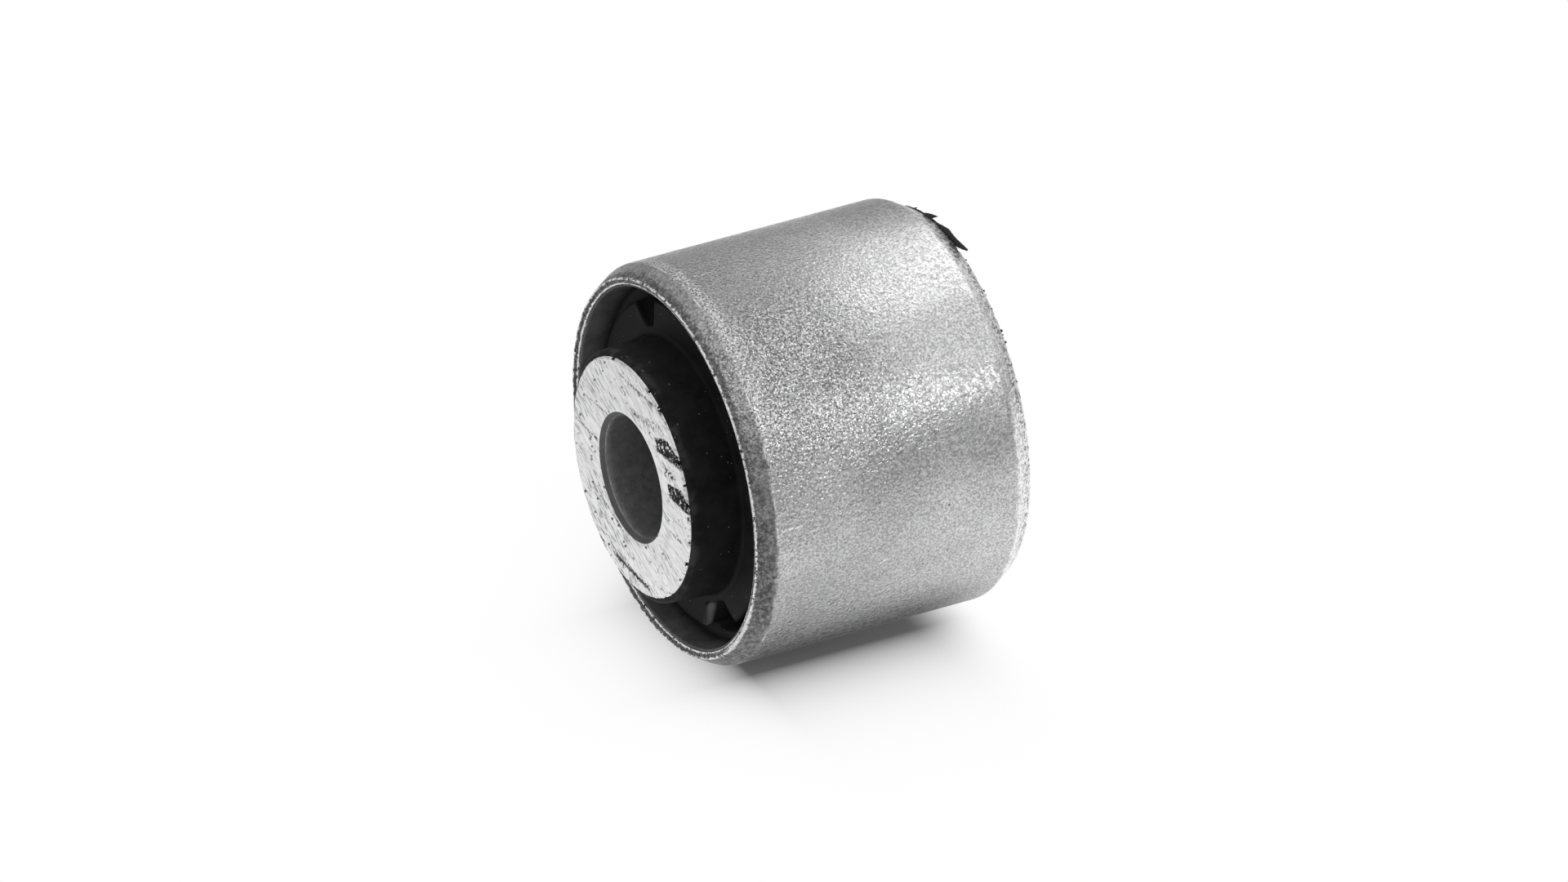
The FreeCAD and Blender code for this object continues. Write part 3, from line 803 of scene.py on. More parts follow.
class CutSteel(BushFinish):
    """Bright sawn end faces with straight marks and black smears, and a dull grey bore."""

    def __init__(self, colours, sizes):
        super().__init__("cut_steel")
        self.colours = colours
        self.mouth = (BORE_RADIUS + sizes.bore_lead_in) / MM
        self.bore_edge = (FACE_HEIGHT - sizes.bore_lead_in) / MM
        sawn_place = self.add("ShaderNodeMapping", {
            "Vector": self.place, "Rotation": (0.0, 0.0, -math.radians(SAW_TURN))}).outputs[0]
        self.marks = self.noise(self.vector("MULTIPLY", sawn_place, (2.6, 0.26, 1.0)), 1.3, 3.0, 0.7)
        self.worked = self.either(
            self.patchy(0.32, 3.0, 0.5, 0.38, 0.60, 0.35, 1.0),
            self.product(self.range(self.forward, -2.5, -6.0), self.range(self.left, 4.0, 0.0), 1.15))
        dashes = self.noise(self.vector("MULTIPLY", sawn_place, (4.2, 0.75, 1.0)), 0.9, 2.0, 0.6)
        self.dashes = self.product(self.range(dashes, 0.53, 0.63), self.worked)
        self.grit = self.noise(self.place, 3.4, 3.0, 0.7)
        wander = self.product(self.minus(self.noise(self.place, 2.2, 3.0, 0.7), 0.5), 0.7)
        self.flat_place = self.join(self.plus(self.forward, wander), self.minus(self.left, wander))

    def build(self):
        """Gives the finished material."""
        smears = self.smears()
        in_bore = self.range(self.radius, self.mouth + 0.02, self.mouth - 0.03)
        colour = self.blend(in_bore, self.face(smears), self.bore())
        roughness = self.mix(smears, self.range(self.marks, 0.3, 0.7, 0.40, 0.54), 0.7)
        roughness = self.mix(in_bore, roughness, 0.6)
        relief = self.product(self.minus(self.marks, self.dashes), 0.5)
        relief = self.plus(relief, self.product(smears, 0.4))
        return self.finish(colour, roughness, relief, 0.025, metallic=1.0)

    def smears(self):
        """Gives a mask of the torn rubber on the upper face and along its outer edge."""
        patches = self.either(
            *(self.patch(self.flat_place, corners, torn, self.grit) for corners, torn in FACE_SMEARS))
        patches = self.product(patches, self.patchy(2.4, 3.0, 0.8, 0.38, 0.46))
        torn_edge = self.product(
            self.range(self.radius, INNER_RADIUS / MM - 0.34, INNER_RADIUS / MM - 0.10),
            self.patchy(0.9, 3.0, 0.7, 0.57, 0.66))
        return self.product(self.either(patches, torn_edge), self.upper)

    def face(self, smears):
        """Gives the bright face with its saw marks, dashes, pricks, dark lines and smears."""
        face = self.tint((*self.colours.cut_steel,), self.range(self.marks, 0.32, 0.68, 0.80, 1.09))
        face = self.blend(self.product(self.dashes, 0.62), face, grey(DASH_GREY))
        pricks = self.specks(self.vector("MULTIPLY", self.place, (0.5, 1.0, 1.0)), 1.7, 0.19, 0.42)
        face = self.blend(self.product(pricks, self.worked, 0.85), face, grey(PRICK_GREY))
        lines = self.product(
            self.strokes(self.flat_place, FACE_LINES), self.range(self.grit, 0.40, 0.56), self.upper)
        face = self.blend(lines, face, grey(PRICK_GREY))
        return self.blend(smears, face, grey(SMEAR_GREY))

    def bore(self):
        """Gives the dull bore with its dark lead-in and the broken bright ring inside it."""
        level = self.math("ABSOLUTE", self.height)
        bore = self.tint((*self.colours.bore_steel,), self.patchy(1.1, 4.0, 0.6, 0.3, 0.7, 0.85, 1.15))
        ring = self.product(
            self.band(level, self.bore_edge - 0.05, 0.07), self.patchy(1.3, 2.0, 0.5, 0.45, 0.60), 0.3)
        bore = self.blend(ring, bore, (*self.colours.cut_steel,))
        lead_in = self.range(level, self.bore_edge, self.bore_edge + 0.06)
        return self.blend(self.product(lead_in, 0.75), bore, grey(LEAD_IN_GREY))


class BlackRubber(BushFinish):
    """Matt black moulded rubber with a faint painted sheen beside the rims, painted highlights on the
    collar's lip and in the lower pocket, painted light deep down, and dust specks.
    """

    def __init__(self, colours, sleeve_sizes, rubber_sizes):
        super().__init__("black_rubber")
        self.colours = colours
        self.bond = (OUTER_RADIUS - sleeve_sizes.outer_wall) / MM
        self.lining = self.bond - rubber_sizes.lining_wall / MM
        self.land = (UPPER_RIM - rubber_sizes.land_depth) / MM
        self.cloud = self.noise(self.place, 0.5, 4.0, 0.6)

    def build(self):
        """Gives the finished material."""
        colour = self.tint((*self.colours.rubber,), self.range(self.cloud, 0.3, 0.7, 0.75, 1.4))
        colour = self.blend(self.painted_light_and_paler_rubber(), colour, (*self.colours.dust,))
        # A painted highlight down the lower pocket's side, where light falls in
        painted_pocket_highlight = self.product(
            self.stroke(self.place, *POCKET_PAINTED_HIGHLIGHT), self.range(self.cloud, 0.3, 0.7, 0.8, 1.0))
        colour = self.blend(painted_pocket_highlight, colour, grey(PAINTED_HIGHLIGHT_GREY))
        dust = self.either(
            self.product(self.specks(self.place, 1.5, 0.085, 0.32), 0.8),
            self.specks(self.place, 0.55, 0.12, 0.2))
        colour = self.blend(dust, colour, (*self.colours.dust,))
        roughness = self.range(self.cloud, 0.3, 0.7, 0.56, 0.68)
        relief = self.plus(self.product(self.noise(self.place, 5.0, 3.0, 0.6), 0.4), dust)
        return self.finish(colour, roughness, relief, 0.02, specular=0.06)

    def painted_light_and_paler_rubber(self):
        """Gives a mask of the paler rubber and painted light: a painted sheen beside the rims, the paler torn
        edge, a painted highlight on the lip and painted light deep down.
        """
        half_length = HALF_SLEEVE / MM
        level = self.math("ABSOLUTE", self.minus(self.height, SLEEVE_MIDDLE / MM))
        # Paler patches on the lining beside the rims: a painted sheen of the light that falls there
        beside_rims = self.product(
            self.range(self.radius, self.lining - 0.1, self.lining + 0.1),
            self.range(level, half_length - 4.6, half_length - 0.8),
            self.range(self.cloud, 0.3, 0.7, 0.40, 0.66))
        torn = self.product(
            self.range(self.radius, self.bond - 0.2, self.bond),
            self.range(level, half_length - 0.2, half_length - 0.05), 0.65)
        # A painted highlight along the collar's lip
        lip = self.product(
            self.range(self.height, COLLAR_HEIGHT / MM - 1.0, COLLAR_HEIGHT / MM - 0.1),
            self.range(self.cloud, 0.46, 0.62), 0.09)
        # Painted light deep down in the pockets and grooves, lightening their shade
        deep = self.product(
            self.range(self.math("ABSOLUTE", self.height), self.land - 0.3, self.land - 1.6), 0.10)
        return self.either(beside_rims, torn, lip, deep)


class BUSH_OT_outer_sleeve(bpy.types.Operator):
    """Turns the blasted outer sleeve with its chamfers and worn rims"""

    bl_idname = "bush.outer_sleeve"
    bl_label = "Outer sleeve"

    def execute(self, context):
        sizes = context.scene.bush_sleeves
        section = both_ends(self.half_section(sizes, UPPER_RIM), self.half_section(sizes, LOWER_RIM))
        points, directions = lathe(section, sizes.around)
        points = points - directions * self.relief(points, section, sizes)[..., None]
        finish = BlastedSteel(context.scene.bush_finishes, sizes).build()
        attach(skin_from_rings("outer_sleeve_blasted", points, finish), "blasted_steel", "outer_sleeve")
        return {"FINISHED"}

    def half_section(self, sizes, rim):
        """Lists one end's half of the section, from the bonded wall over the rim to the outer wall."""
        bond = OUTER_RADIUS - sizes.outer_wall
        inner_edge = (bond, rim - sizes.rim_fall)
        outer_edge = (bond + sizes.rim_width, rim)
        corner = (OUTER_RADIUS, rim - sizes.chamfer_length)
        facing = math.degrees(math.atan2(OUTER_RADIUS - outer_edge[0], sizes.chamfer_length))
        tangent = sizes.chamfer_round * math.tan(math.radians(facing) / 2)
        centre = (OUTER_RADIUS - sizes.chamfer_round, corner[1] - tangent)
        rounded = arc(centre, sizes.chamfer_round, facing, 0.0, 6)
        points = [(bond, HALF_START), (bond, rim - 0.6 * MM), (bond, inner_edge[1] - EDGE)]
        points += [(bond + 0.015 * MM, inner_edge[1] + 0.01 * MM)] + run(inner_edge, outer_edge, 9)
        points += [(outer_edge[0], rim - 0.01 * MM), (outer_edge[0] + EDGE, rim - 0.055 * MM)]
        points += run(points[-1], rounded[0], 12) + rounded
        points += run(rounded[-1], (OUTER_RADIUS, 0.0), 44)
        return points

    def relief(self, points, section, sizes):
        """Works out how deep the surface lies below its true form."""
        below_rim = HALF_SLEEVE - np.abs(section[:, 1] - SLEEVE_MIDDLE)[:, None]
        past_bond = section[:, 0][:, None] - (OUTER_RADIUS - sizes.outer_wall)
        dimples = 0.5 + 0.5 * surface_noise(points, 1.1 * MM, 1)
        waves = 0.5 + 0.5 * surface_noise(points, 5.0 * MM, 2)
        chips = np.clip(surface_noise(points, 0.5 * MM, 3) - 0.12, 0.0, 1.0)
        at_rim = np.clip(1.0 - below_rim / (0.5 * MM), 0.0, 1.0)
        depth = sizes.blast_relief * (0.7 * dimples + 0.6 * waves)
        depth = depth + at_rim * (chips * sizes.rim_chips + dimples * sizes.rim_wear)
        return np.where((past_bond > 1e-6) | (below_rim < sizes.rim_fall + 0.1 * MM), depth, 0.0)


class BUSH_OT_inner_sleeve(bpy.types.Operator):
    """Turns the inner sleeve with its sawn end faces, lead-in and dull bore"""

    bl_idname = "bush.inner_sleeve"
    bl_label = "Inner sleeve"

    def execute(self, context):
        sizes = context.scene.bush_sleeves
        half = self.half_section(sizes)
        section = both_ends(half, half)
        points, directions = lathe(section, sizes.around * 3 // 4)
        points = points - directions * self.relief(points, section, sizes)[..., None]
        finish = CutSteel(context.scene.bush_finishes, sizes).build()
        attach(skin_from_rings("inner_sleeve_cut", points, finish), "cut_steel", "inner_sleeve")
        return {"FINISHED"}

    def half_section(self, sizes):
        """Lists one end's half of the section, from the bore over the end face to the bonded wall."""
        face = FACE_HEIGHT
        mouth = BORE_RADIUS + sizes.bore_lead_in
        lead_in = face - sizes.bore_lead_in
        face_edge = INNER_RADIUS - sizes.face_edge_break
        points = [(BORE_RADIUS, HALF_START)]
        points += run(points[-1], (BORE_RADIUS, lead_in - EDGE), 26)
        points += [(BORE_RADIUS, lead_in - EDGE), (BORE_RADIUS + EDGE, lead_in + EDGE)]
        points += run(points[-1], (mouth - EDGE, face - EDGE), 4)
        points += [(mouth - EDGE, face - EDGE), (mouth, face - 0.3 * EDGE), (mouth + EDGE, face)]
        points += run(points[-1], (face_edge - EDGE, face), 30)
        points += [(face_edge - EDGE, face), (face_edge + 0.4 * EDGE, face - 0.3 * EDGE)]
        points += run(points[-1], (INNER_RADIUS, face - sizes.face_edge_break), 3)
        points += [(INNER_RADIUS, face - sizes.face_edge_break), (INNER_RADIUS, face - 0.6 * MM)]
        return points

    def relief(self, points, section, sizes):
        """Works out how deep the faces lie below their true form, with a nicked outer edge."""
        level = np.abs(section[:, 1])[:, None]
        radius = section[:, 0][:, None]
        on_face = (level > FACE_HEIGHT - 0.2 * MM) & (radius > BORE_RADIUS + 0.5 * MM)
        edge = np.clip((radius - (INNER_RADIUS - 0.35 * MM)) / (0.3 * MM), 0.0, 1.0)
        nicks = np.clip(surface_noise(points, 0.5 * MM, 5) - 0.1, 0.0, 1.0)
        waves = 0.5 + 0.5 * surface_noise(points, 3.0 * MM, 6)
        return np.where(on_face, waves * sizes.face_waves + edge * nicks * sizes.face_nicks, 0.0)


class BUSH_OT_rubber_body(bpy.types.Operator):
    """Moulds the rubber with its collars, grooves and two pockets"""

    bl_idname = "bush.rubber_body"
    bl_label = "Rubber body"

    def execute(self, context):
        sizes = context.scene.bush_rubber
        sleeves = context.scene.bush_sleeves
        bond = OUTER_RADIUS - sleeves.outer_wall
        upper, shares = self.half_section(sizes, bond, UPPER_RIM, sleeves.rim_fall)
        lower, _ = self.half_section(sizes, bond, LOWER_RIM, sleeves.rim_fall)
        section = both_ends(upper, lower)
        shares = np.concatenate([shares, np.zeros(len(lower))])
        radius, height, turn = self.carve(section, shares, sizes, bond)
        points = self.uneven(turned(radius, turn, height), radius, height, bond, sizes)
        finish = BlackRubber(context.scene.bush_finishes, sleeves, sizes).build()
        attach(skin_from_rings("rubber_moulding", points, finish), "black_rubber", "rubber_body")
        return {"FINISHED"}

    def half_section(self, sizes, bond, rim, rim_fall):
        """Lists one end's half section from the inner bond outwards, and a pocket's share in each point."""
        land = rim - sizes.land_depth
        groove = land - sizes.groove_drop
        lip_radius = INNER_RADIUS + sizes.collar_lip_wall
        foot_radius = INNER_RADIUS + sizes.collar_foot_wall
        lining_radius = bond - sizes.lining_wall
        land_radius = lining_radius - sizes.groove_width
        lining_top = (bond - sizes.lining_lip_wall, rim - rim_fall - sizes.lining_drop)
        lip, foot = sizes.collar_lip_round, sizes.collar_foot_round
        edge, corner = sizes.land_edge_round, sizes.groove_round
        pocket_start = foot_radius + sizes.pocket_inner_gap
        pocket_end = bond - sizes.pocket_outer_gap

        points = [(INNER_RADIUS, height) for height in (HALF_START, COLLAR_HEIGHT - 0.4 * MM, COLLAR_HEIGHT)]
        points += arc((lip_radius - lip, COLLAR_HEIGHT - lip), lip, 90.0, 3.0, 8)
        foot_arc = arc((foot_radius + foot, land + foot), foot, 177.0, 270.0, 6)
        points += run(points[-1], foot_arc[0], 12) + foot_arc
        shares = [0.0] * len(points)
        for step, share in POCKET_END_STEPS:
            points.append((pocket_start + step * MM, land))
            shares.append(share)
        inside = run(points[-1], (land_radius - edge, land), 14)
        inside += arc((land_radius - edge, land - edge), edge, 90.0, 0.0, 4)
        corner_arc = arc((land_radius + corner, groove + corner), corner, 180.0, 270.0, 5)
        inside += run(inside[-1], corner_arc[0], 4) + corner_arc
        points += inside
        shares += [1.0] * len(inside)
        for step, share in reversed(POCKET_END_STEPS):
            points.append((pocket_end - step * MM, groove))
            shares.append(share)
        outside = arc((lining_radius - corner, groove + corner), corner, 270.0, 360.0, 6)
        outside += run(outside[-1], lining_top, 12) + [lining_top]
        outside += [((lining_top[0] + bond) / 2, lining_top[1] + 0.01 * MM), (bond, lining_top[1])]
        outside += [(bond, lining_top[1] - 0.4 * MM), (bond, HALF_START)]
        points += outside
        shares += [0.0] * len(outside)
        return points, np.array(shares)

    def carve(self, section, shares, sizes, bond):
        """Sinks the two pockets into the section's rings, with columns that follow the pockets' sides."""
        radius = section[:, 0].copy()
        inside = np.nonzero(shares > 0)[0]
        start = INNER_RADIUS + sizes.collar_foot_wall + sizes.pocket_inner_gap
        end = bond - sizes.pocket_outer_gap
        sunk_radius = radius.copy()
        sunk_radius[inside] = np.linspace(start + EDGE, end - EDGE, len(inside))
        floor_height = UPPER_RIM - sizes.land_depth - sizes.pocket_depth

        pockets = (
            (UPPER_POCKET_TURN, sizes.upper_pocket_half_widths, sizes.upper_pocket_taper),
            (LOWER_POCKET_TURN, sizes.lower_pocket_half_widths, sizes.lower_pocket_taper),
        )
        columns = []
        for pocket_turn, half_widths, taper in pockets:
            half_width = np.interp(sunk_radius, (start, start + taper), half_widths)
            columns += self.pocket_columns(pocket_turn, half_width, sunk_radius)
        gaps = (
            (UPPER_POCKET_TURN + POCKET_REACH, LOWER_POCKET_TURN - POCKET_REACH),
            (LOWER_POCKET_TURN + POCKET_REACH, UPPER_POCKET_TURN + 360.0 - POCKET_REACH),
        )
        for first, last in gaps:
            for at in np.linspace(first, last, COLUMNS_BETWEEN_POCKETS + 1)[1:-1]:
                columns.append((np.full(len(section), at), 0.0))
        columns.sort(key=lambda column: column[0][0] % 360.0)
        turn = np.stack([column[0] for column in columns], axis=1)
        side = np.array([column[1] for column in columns])
        sunk = shares[:, None] * side[None, :]
        sunk_height = np.minimum(section[:, 1], floor_height)
        new_radius = radius[:, None] * (1 - sunk) + sunk_radius[:, None] * sunk
        new_height = section[:, 1][:, None] * (1 - sunk) + sunk_height[:, None] * sunk
        return new_radius, new_height, turn

    def pocket_columns(self, pocket_turn, half_width, radius):
        """Lists the columns round one pocket: the turn in each ring, and how far the column lies inside."""
        columns = []
        wall = POCKET_SIDE_STEPS[0][0] * MM
        for sign in (-1.0, 1.0):
            for step, share in POCKET_SIDE_STEPS:
                aside = half_width + step * MM
                columns.append((pocket_turn + sign * np.degrees(np.arcsin(aside / radius)), share))
            edge_turn = np.degrees(np.arcsin((half_width + wall) / radius))
            for share in np.linspace(0.0, 1.0, COLUMNS_BESIDE_POCKET + 1)[1:]:
                columns.append((pocket_turn + sign * (edge_turn + (POCKET_REACH - edge_turn) * share), 0.0))
            for share in (0.25, 0.5, 0.75, 0.9):
                aside = (half_width - wall) * share
                columns.append((pocket_turn + sign * np.degrees(np.arcsin(aside / radius)), 1.0))
        columns.append((np.full(len(radius), pocket_turn), 1.0))
        columns.sort(key=lambda column: column[0][0])
        return columns

    def uneven(self, points, radius, height, bond, sizes):
        """Gives the open surfaces the slight waviness of a moulding."""
        bonded = (np.abs(radius - INNER_RADIUS) < 1e-6) | (np.abs(radius - bond) < 1e-6)
        waves = surface_noise(points, 2.2 * MM, 8) * sizes.skin_waves
        waves = waves + surface_noise(points, 0.7 * MM, 9) * sizes.skin_grain
        points[..., 2] += np.sign(height) * np.where(bonded, 0.0, np.minimum(waves, 0.0))
        return points


class BUSH_OT_rubber_flash(bpy.types.Operator):
    """Adds the torn flakes and the crumbs of rubber on the lower rim"""

    bl_idname = "bush.rubber_flash"
    bl_label = "Torn rubber flash"

    def execute(self, context):
        thickness = context.scene.bush_rubber.flash_thickness
        finish = bpy.data.materials["black_rubber"]
        points, faces = [], []
        for number, stations in enumerate(FLASH_FLAKES):
            self.add_flake(points, faces, np.array(stations), thickness, number)
        attach(piece_from_faces("rubber_flash", np.array(points), np.array(faces), finish), "black_rubber")
        points, faces = [], []
        for number, (turn, radius, size) in enumerate(RUBBER_CRUMBS):
            self.add_crumb(points, faces, turned(radius * MM, turn, -LOWER_RIM), size * MM, number)
        attach(piece_from_faces("rubber_crumbs", np.array(points), np.array(faces), finish), "black_rubber")
        return {"FINISHED"}

    def add_flake(self, points, faces, stations, thickness, number):
        """Adds one flake: rows along it, each a flat lens from the inner edge to the outer edge and back."""
        share = np.linspace(0.0, 1.0, FLAKE_ROWS)
        knots = np.linspace(0.0, 1.0, len(stations))
        inner_turn, inner_radius, outer_turn, outer_radius = (
            np.interp(share, knots, stations[:, column]) for column in range(4))
        ragged = np.array([noise.noise(Vector((at * 19.0, number * 7.0, 0.0))) for at in share])
        outer_radius = outer_radius + ragged * 0.06 * np.sin(math.pi * share)
        inner_radius = inner_radius + ragged[::-1] * 0.05 * np.sin(math.pi * share)
        first = len(points)
        count = 2 * FLAKE_SIDE_STEPS
        for row in range(FLAKE_ROWS):
            lift = (0.05 + 0.22 * share[row] ** 2) * MM
            thick = thickness * (1.0 - 0.6 * share[row] ** 2)
            for side in range(count):
                underneath = side <= FLAKE_SIDE_STEPS
                over = side / FLAKE_SIDE_STEPS if underneath else 2.0 - side / FLAKE_SIDE_STEPS
                lens = math.sqrt(max(0.0, 1.0 - (2.0 * over - 1.0) ** 4))
                turn = inner_turn[row] * (1.0 - over) + outer_turn[row] * over
                radius = (inner_radius[row] * (1.0 - over) + outer_radius[row] * over) * MM
                rough = noise.noise(Vector(turned(radius, turn, number * MM) / (0.6 * MM)))
                bulge = thick * lens * (0.5 + 0.25 * rough)
                height = -LOWER_RIM - lift - (bulge if underneath else -bulge * 0.4)
                points.append(turned(radius, turn, min(height, -LOWER_RIM - 0.005 * MM)))
        for base in range(first, first + (FLAKE_ROWS - 1) * count, count):
            for side in range(count):
                here, there = base + side, base + (side + 1) % count
                faces.append((here, there, there + count, here + count))
        for row, turned_back in ((0, True), (FLAKE_ROWS - 1, False)):
            base = first + row * count
            for side in range(FLAKE_SIDE_STEPS):
                corners = (side, side + 1, (count - side - 1) % count, (count - side) % count)
                quad = tuple(base + corner for corner in corners)
                faces.append(quad[::-1] if turned_back else quad)

    def add_crumb(self, points, faces, middle, size, number):
        """Adds one small uneven crumb."""
        first = len(points)
        for row in range(CRUMB_ROWS + 1):
            lean = math.pi * row / CRUMB_ROWS
            for column in range(CRUMB_COLUMNS):
                way = turned(math.sin(lean), 360.0 * column / CRUMB_COLUMNS, math.cos(lean))
                wobble = 1.0 + 0.5 * noise.noise(Vector(way * 1.7) + Vector((number * 3.1, 0.0, 0.0)))
                points.append(middle + way * size * wobble)
        for base in range(first, first + CRUMB_ROWS * CRUMB_COLUMNS, CRUMB_COLUMNS):
            for column in range(CRUMB_COLUMNS):
                here, there = base + column, base + (column + 1) % CRUMB_COLUMNS
                faces.append((here, there, there + CRUMB_COLUMNS, here + CRUMB_COLUMNS))


class BUSH_OT_studio(bpy.types.Operator):
    """Sets up the floor under the lying bush, the lamps, the pale surroundings and the camera"""

    bl_idname = "bush.studio"
    bl_label = "Studio"

    def execute(self, context):
        settings = context.scene.bush_studio
        context.scene.view_settings.view_transform = "Standard"
        up = self.side(settings.floor_azimuth)
        front = self.side(settings.floor_azimuth - 90.0)
        bore = Vector((0.0, 0.0, 1.0))
        self.add_floor(context, settings, up, front, bore)
        self.add_lamps(context, settings, Matrix((up, front, bore)).transposed())
        self.light_surroundings(context, up)
        self.aim_camera(context, settings, bore)
        return {"FINISHED"}

    def side(self, azimuth):
        """Gives the level direction of an azimuth, which is 0 at -Y and 90 at +X."""
        angle = math.radians(azimuth)
        return Vector((math.sin(angle), -math.cos(angle), 0.0))

    def add_floor(self, context, settings, up, front, bore):
        """Lays the pale floor against the bush's side; it shows only from above."""
        steps = 64
        angles = [2 * math.pi * step / steps for step in range(steps)]
        ring = [Vector((math.cos(angle), math.sin(angle), 0.0)) * settings.floor_radius for angle in angles]
        mesh = bpy.data.meshes.new("floor")
        mesh.from_pydata(ring, [], [range(steps)])
        mesh.materials.append(self.floor_material(front, bore))
        floor = bpy.data.objects.new("floor", mesh)
        floor.rotation_mode = "QUATERNION"
        floor.rotation_quaternion = up.to_track_quat("Z", "Y")
        floor.location = -OUTER_RADIUS * up
        context.scene.collection.objects.link(floor)

    def floor_material(self, front, bore):
        """Pale matt floor that turns to plain white near the bush's shade, and isn't there from below."""
        make = Finish("pale_floor")
        surface = make.add("ShaderNodeNewGeometry", {}).outputs
        seen = make.add("ShaderNodeLightPath", {}).outputs["Is Camera Ray"]
        aside = make.dot(surface["Position"], front)
        rise = make.dot(surface["Position"], bore)
        across = make.past(make.math("ABSOLUTE", aside), SHADE_HALF_WIDTH)
        upper_way = make.past(rise, SHADE_UPPER_END)
        mirrored_shade = make.product(
            make.range(across, *MIRRORED_SIDE_FADE, 1.0, 0.0),
            make.range(aside, *MIRRORED_FRONT_EDGE, 0.2, 1.0))
        shaded = make.product(
            make.mix(seen, mirrored_shade, make.halving(across, SHADE_SIDE_STEP)),
            make.halving(upper_way, SHADE_UPPER_STEP),
            make.range(rise, SHADE_LOWER_END, make.mix(seen, *SHADE_LOWER_LIMITS), 1.0, 0.0))
        matt = make.add("ShaderNodeBsdfDiffuse", {"Color": (*grey(FLOOR_GREY), 1.0)}).outputs[0]
        away = make.plus(across, upper_way)
        level = make.mix(seen, make.range(away, *MIRRORED_FLOOR_FADE, 1.0, MIRRORED_FLOOR_LEVEL), 1.0)
        white = make.add("ShaderNodeEmission", {"Color": (*grey(1.0), 1.0), "Strength": level}).outputs[0]
        floor = make.add("ShaderNodeMixShader", {0: shaded, 1: white, 2: matt}).outputs[0]
        clear = make.add("ShaderNodeBsdfTransparent", {}).outputs[0]
        shown = make.add("ShaderNodeMixShader", {0: surface["Backfacing"], 1: floor, 2: clear}).outputs[0]
        make.add("ShaderNodeOutputMaterial", {"Surface": shown})
        return make.material

    def add_lamps(self, context, settings, axes):
        """Hangs a soft lamp over the bush, one close above its lower end and a small one in front."""
        for name, point, way, distance, width, height, spread, mirrored in LAMPS:
            data = bpy.data.lights.new(f"{name}_lamp", "AREA")
            data.shape = "RECTANGLE"
            data.size = width
            data.size_y = height
            data.spread = math.radians(spread)
            data.energy = getattr(settings, f"{name}_power")
            lamp = bpy.data.objects.new(data.name, data)
            outward_way = axes @ Vector(way)
            lamp.location = axes @ Vector(point) + outward_way * distance
            lamp.rotation_mode = "QUATERNION"
            lamp.rotation_quaternion = outward_way.to_track_quat("Z", "Y")
            lamp.visible_camera = False
            lamp.visible_glossy = mirrored
            context.scene.collection.objects.link(lamp)

    def light_surroundings(self, context, up):
        """White to the camera, and to the bush pale walls that get lighter towards the top."""
        world = bpy.data.worlds.new("studio")
        world.use_nodes = True
        context.scene.world = world
        make = NodeMaker(world.node_tree)
        rise = make.dot(make.add("ShaderNodeTexCoord", {}).outputs["Generated"], up)
        level = make.range(rise, 0.0, WALL_TOP, *WALL_LEVELS)
        white = (*grey(1.0), 1.0)
        walls = make.add("ShaderNodeBackground", {"Color": white, "Strength": level}).outputs[0]
        plain = make.add("ShaderNodeBackground", {"Color": white, "Strength": 1.0}).outputs[0]
        seen = make.add("ShaderNodeLightPath", {}).outputs["Is Camera Ray"]
        shown = make.add("ShaderNodeMixShader", {0: seen, 1: walls, 2: plain}).outputs[0]
        make.add("ShaderNodeOutputWorld", {"Surface": shown})

    def aim_camera(self, context, settings, bore):
        """Places the camera at the photograph's angle, rolled so that the bush lies on its side."""
        back = self.side(SHOWN_TURN + 90.0) * math.cos(math.radians(settings.camera_elevation))
        back.z = math.sin(math.radians(settings.camera_elevation))
        bore = (bore - bore.dot(back) * back).normalized()
        aside = back.cross(bore)
        angle = math.radians(settings.bore_direction)
        right = math.cos(angle) * bore - math.sin(angle) * aside
        picture_up = math.sin(angle) * bore + math.cos(angle) * aside
        data = bpy.data.cameras.new("camera")
        data.lens = data.sensor_width * settings.camera_distance / settings.picture_width
        data.clip_start = 0.1
        data.clip_end = 10.0
        camera = bpy.data.objects.new("camera", data)
        target = right * settings.picture_offset[0] + picture_up * settings.picture_offset[1]
        rotation = Matrix((right, picture_up, back)).transposed()
        camera.matrix_world = Matrix.Translation(target + back * settings.camera_distance) @ rotation.to_4x4()
        context.scene.collection.objects.link(camera)
        context.scene.camera = camera


class BUSH_PT_sidebar(bpy.types.Panel):
    """Lists the bush's pieces, sizes and colours"""

    bl_idname = "BUSH_PT_sidebar"
    bl_label = "Rubber Metal Bush"
    bl_space_type = "VIEW_3D"
    bl_region_type = "UI"
    bl_category = "Bush"

    def draw(self, context):
        column = self.layout.column(align=True)
        for operator in OPERATORS:
            column.operator(operator.bl_idname)
        for name, group in PROPERTY_GROUPS.items():
            box = self.layout.box()
            settings = getattr(context.scene, name)
            for property_name in group.__annotations__:
                box.prop(settings, property_name)


OPERATORS = (
    BUSH_OT_outer_sleeve, BUSH_OT_inner_sleeve, BUSH_OT_rubber_body, BUSH_OT_rubber_flash, BUSH_OT_studio)
PROPERTY_GROUPS = {
    "bush_sleeves": BushSleeveSizes,
    "bush_rubber": BushRubberSizes,
    "bush_finishes": BushFinishes,
    "bush_studio": BushStudioSettings,
}


def register():
    for group in PROPERTY_GROUPS.values():
        bpy.utils.register_class(group)
    for operator in OPERATORS:
        bpy.utils.register_class(operator)
    bpy.utils.register_class(BUSH_PT_sidebar)
    for name, group in PROPERTY_GROUPS.items():
        setattr(bpy.types.Scene, name, bpy.props.PointerProperty(type=group))


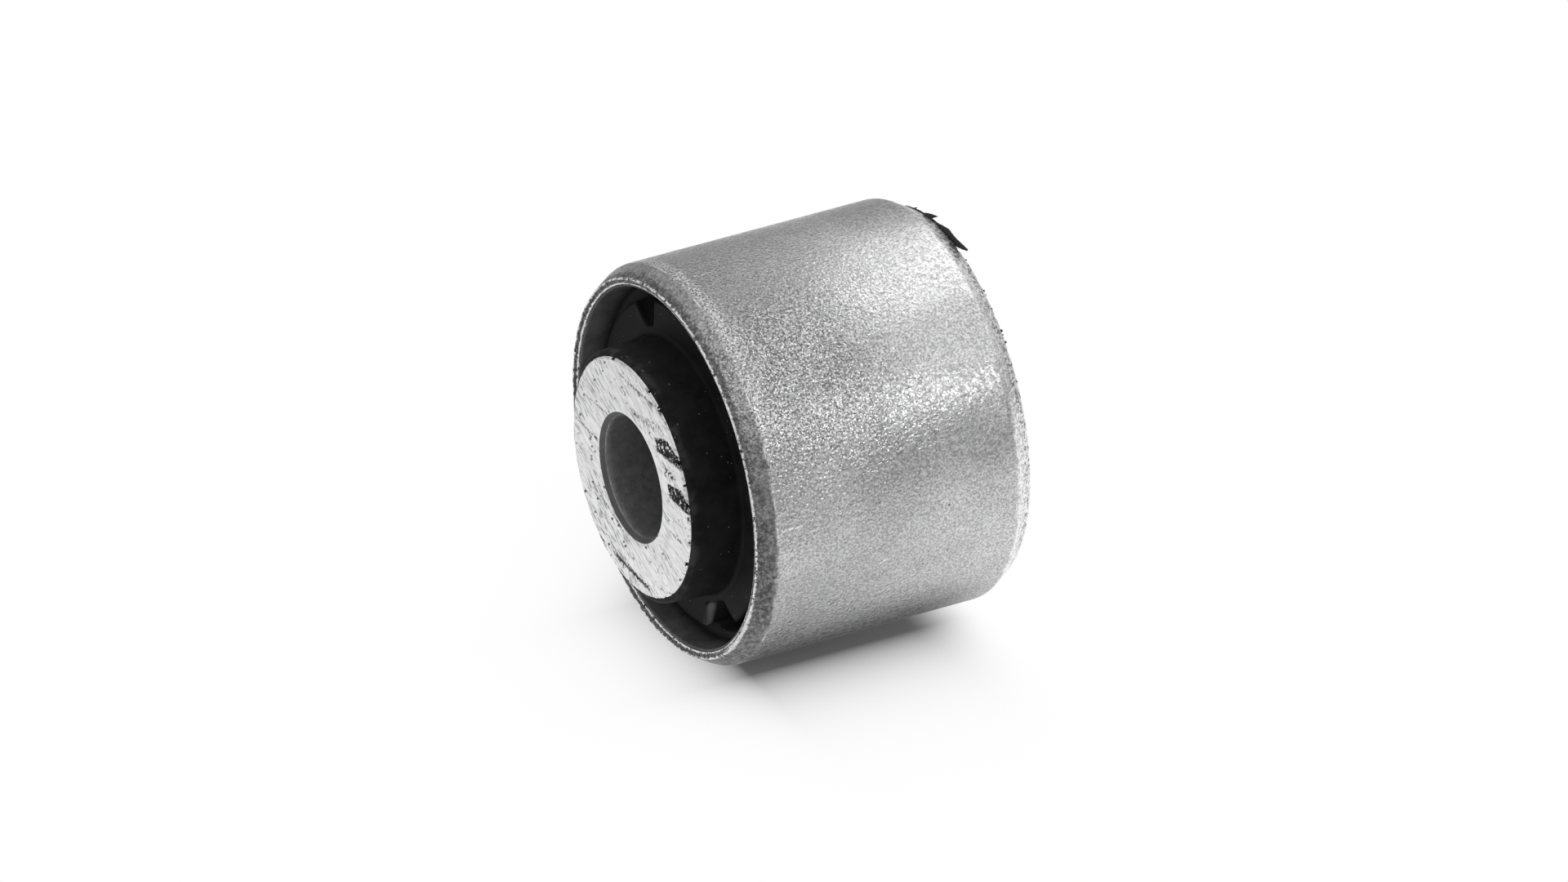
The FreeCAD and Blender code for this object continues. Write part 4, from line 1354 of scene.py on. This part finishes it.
def unregister():
    for name in PROPERTY_GROUPS:
        delattr(bpy.types.Scene, name)
    bpy.utils.unregister_class(BUSH_PT_sidebar)
    for item in (*reversed(OPERATORS), *PROPERTY_GROUPS.values()):
        bpy.utils.unregister_class(item)


def main():
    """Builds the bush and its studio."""
    register()
    bpy.ops.bush.outer_sleeve()
    bpy.ops.bush.inner_sleeve()
    bpy.ops.bush.rubber_body()
    bpy.ops.bush.rubber_flash()
    bpy.ops.bush.studio()
    bpy.context.view_layer.update()


if __name__ == "__main__":
    main()
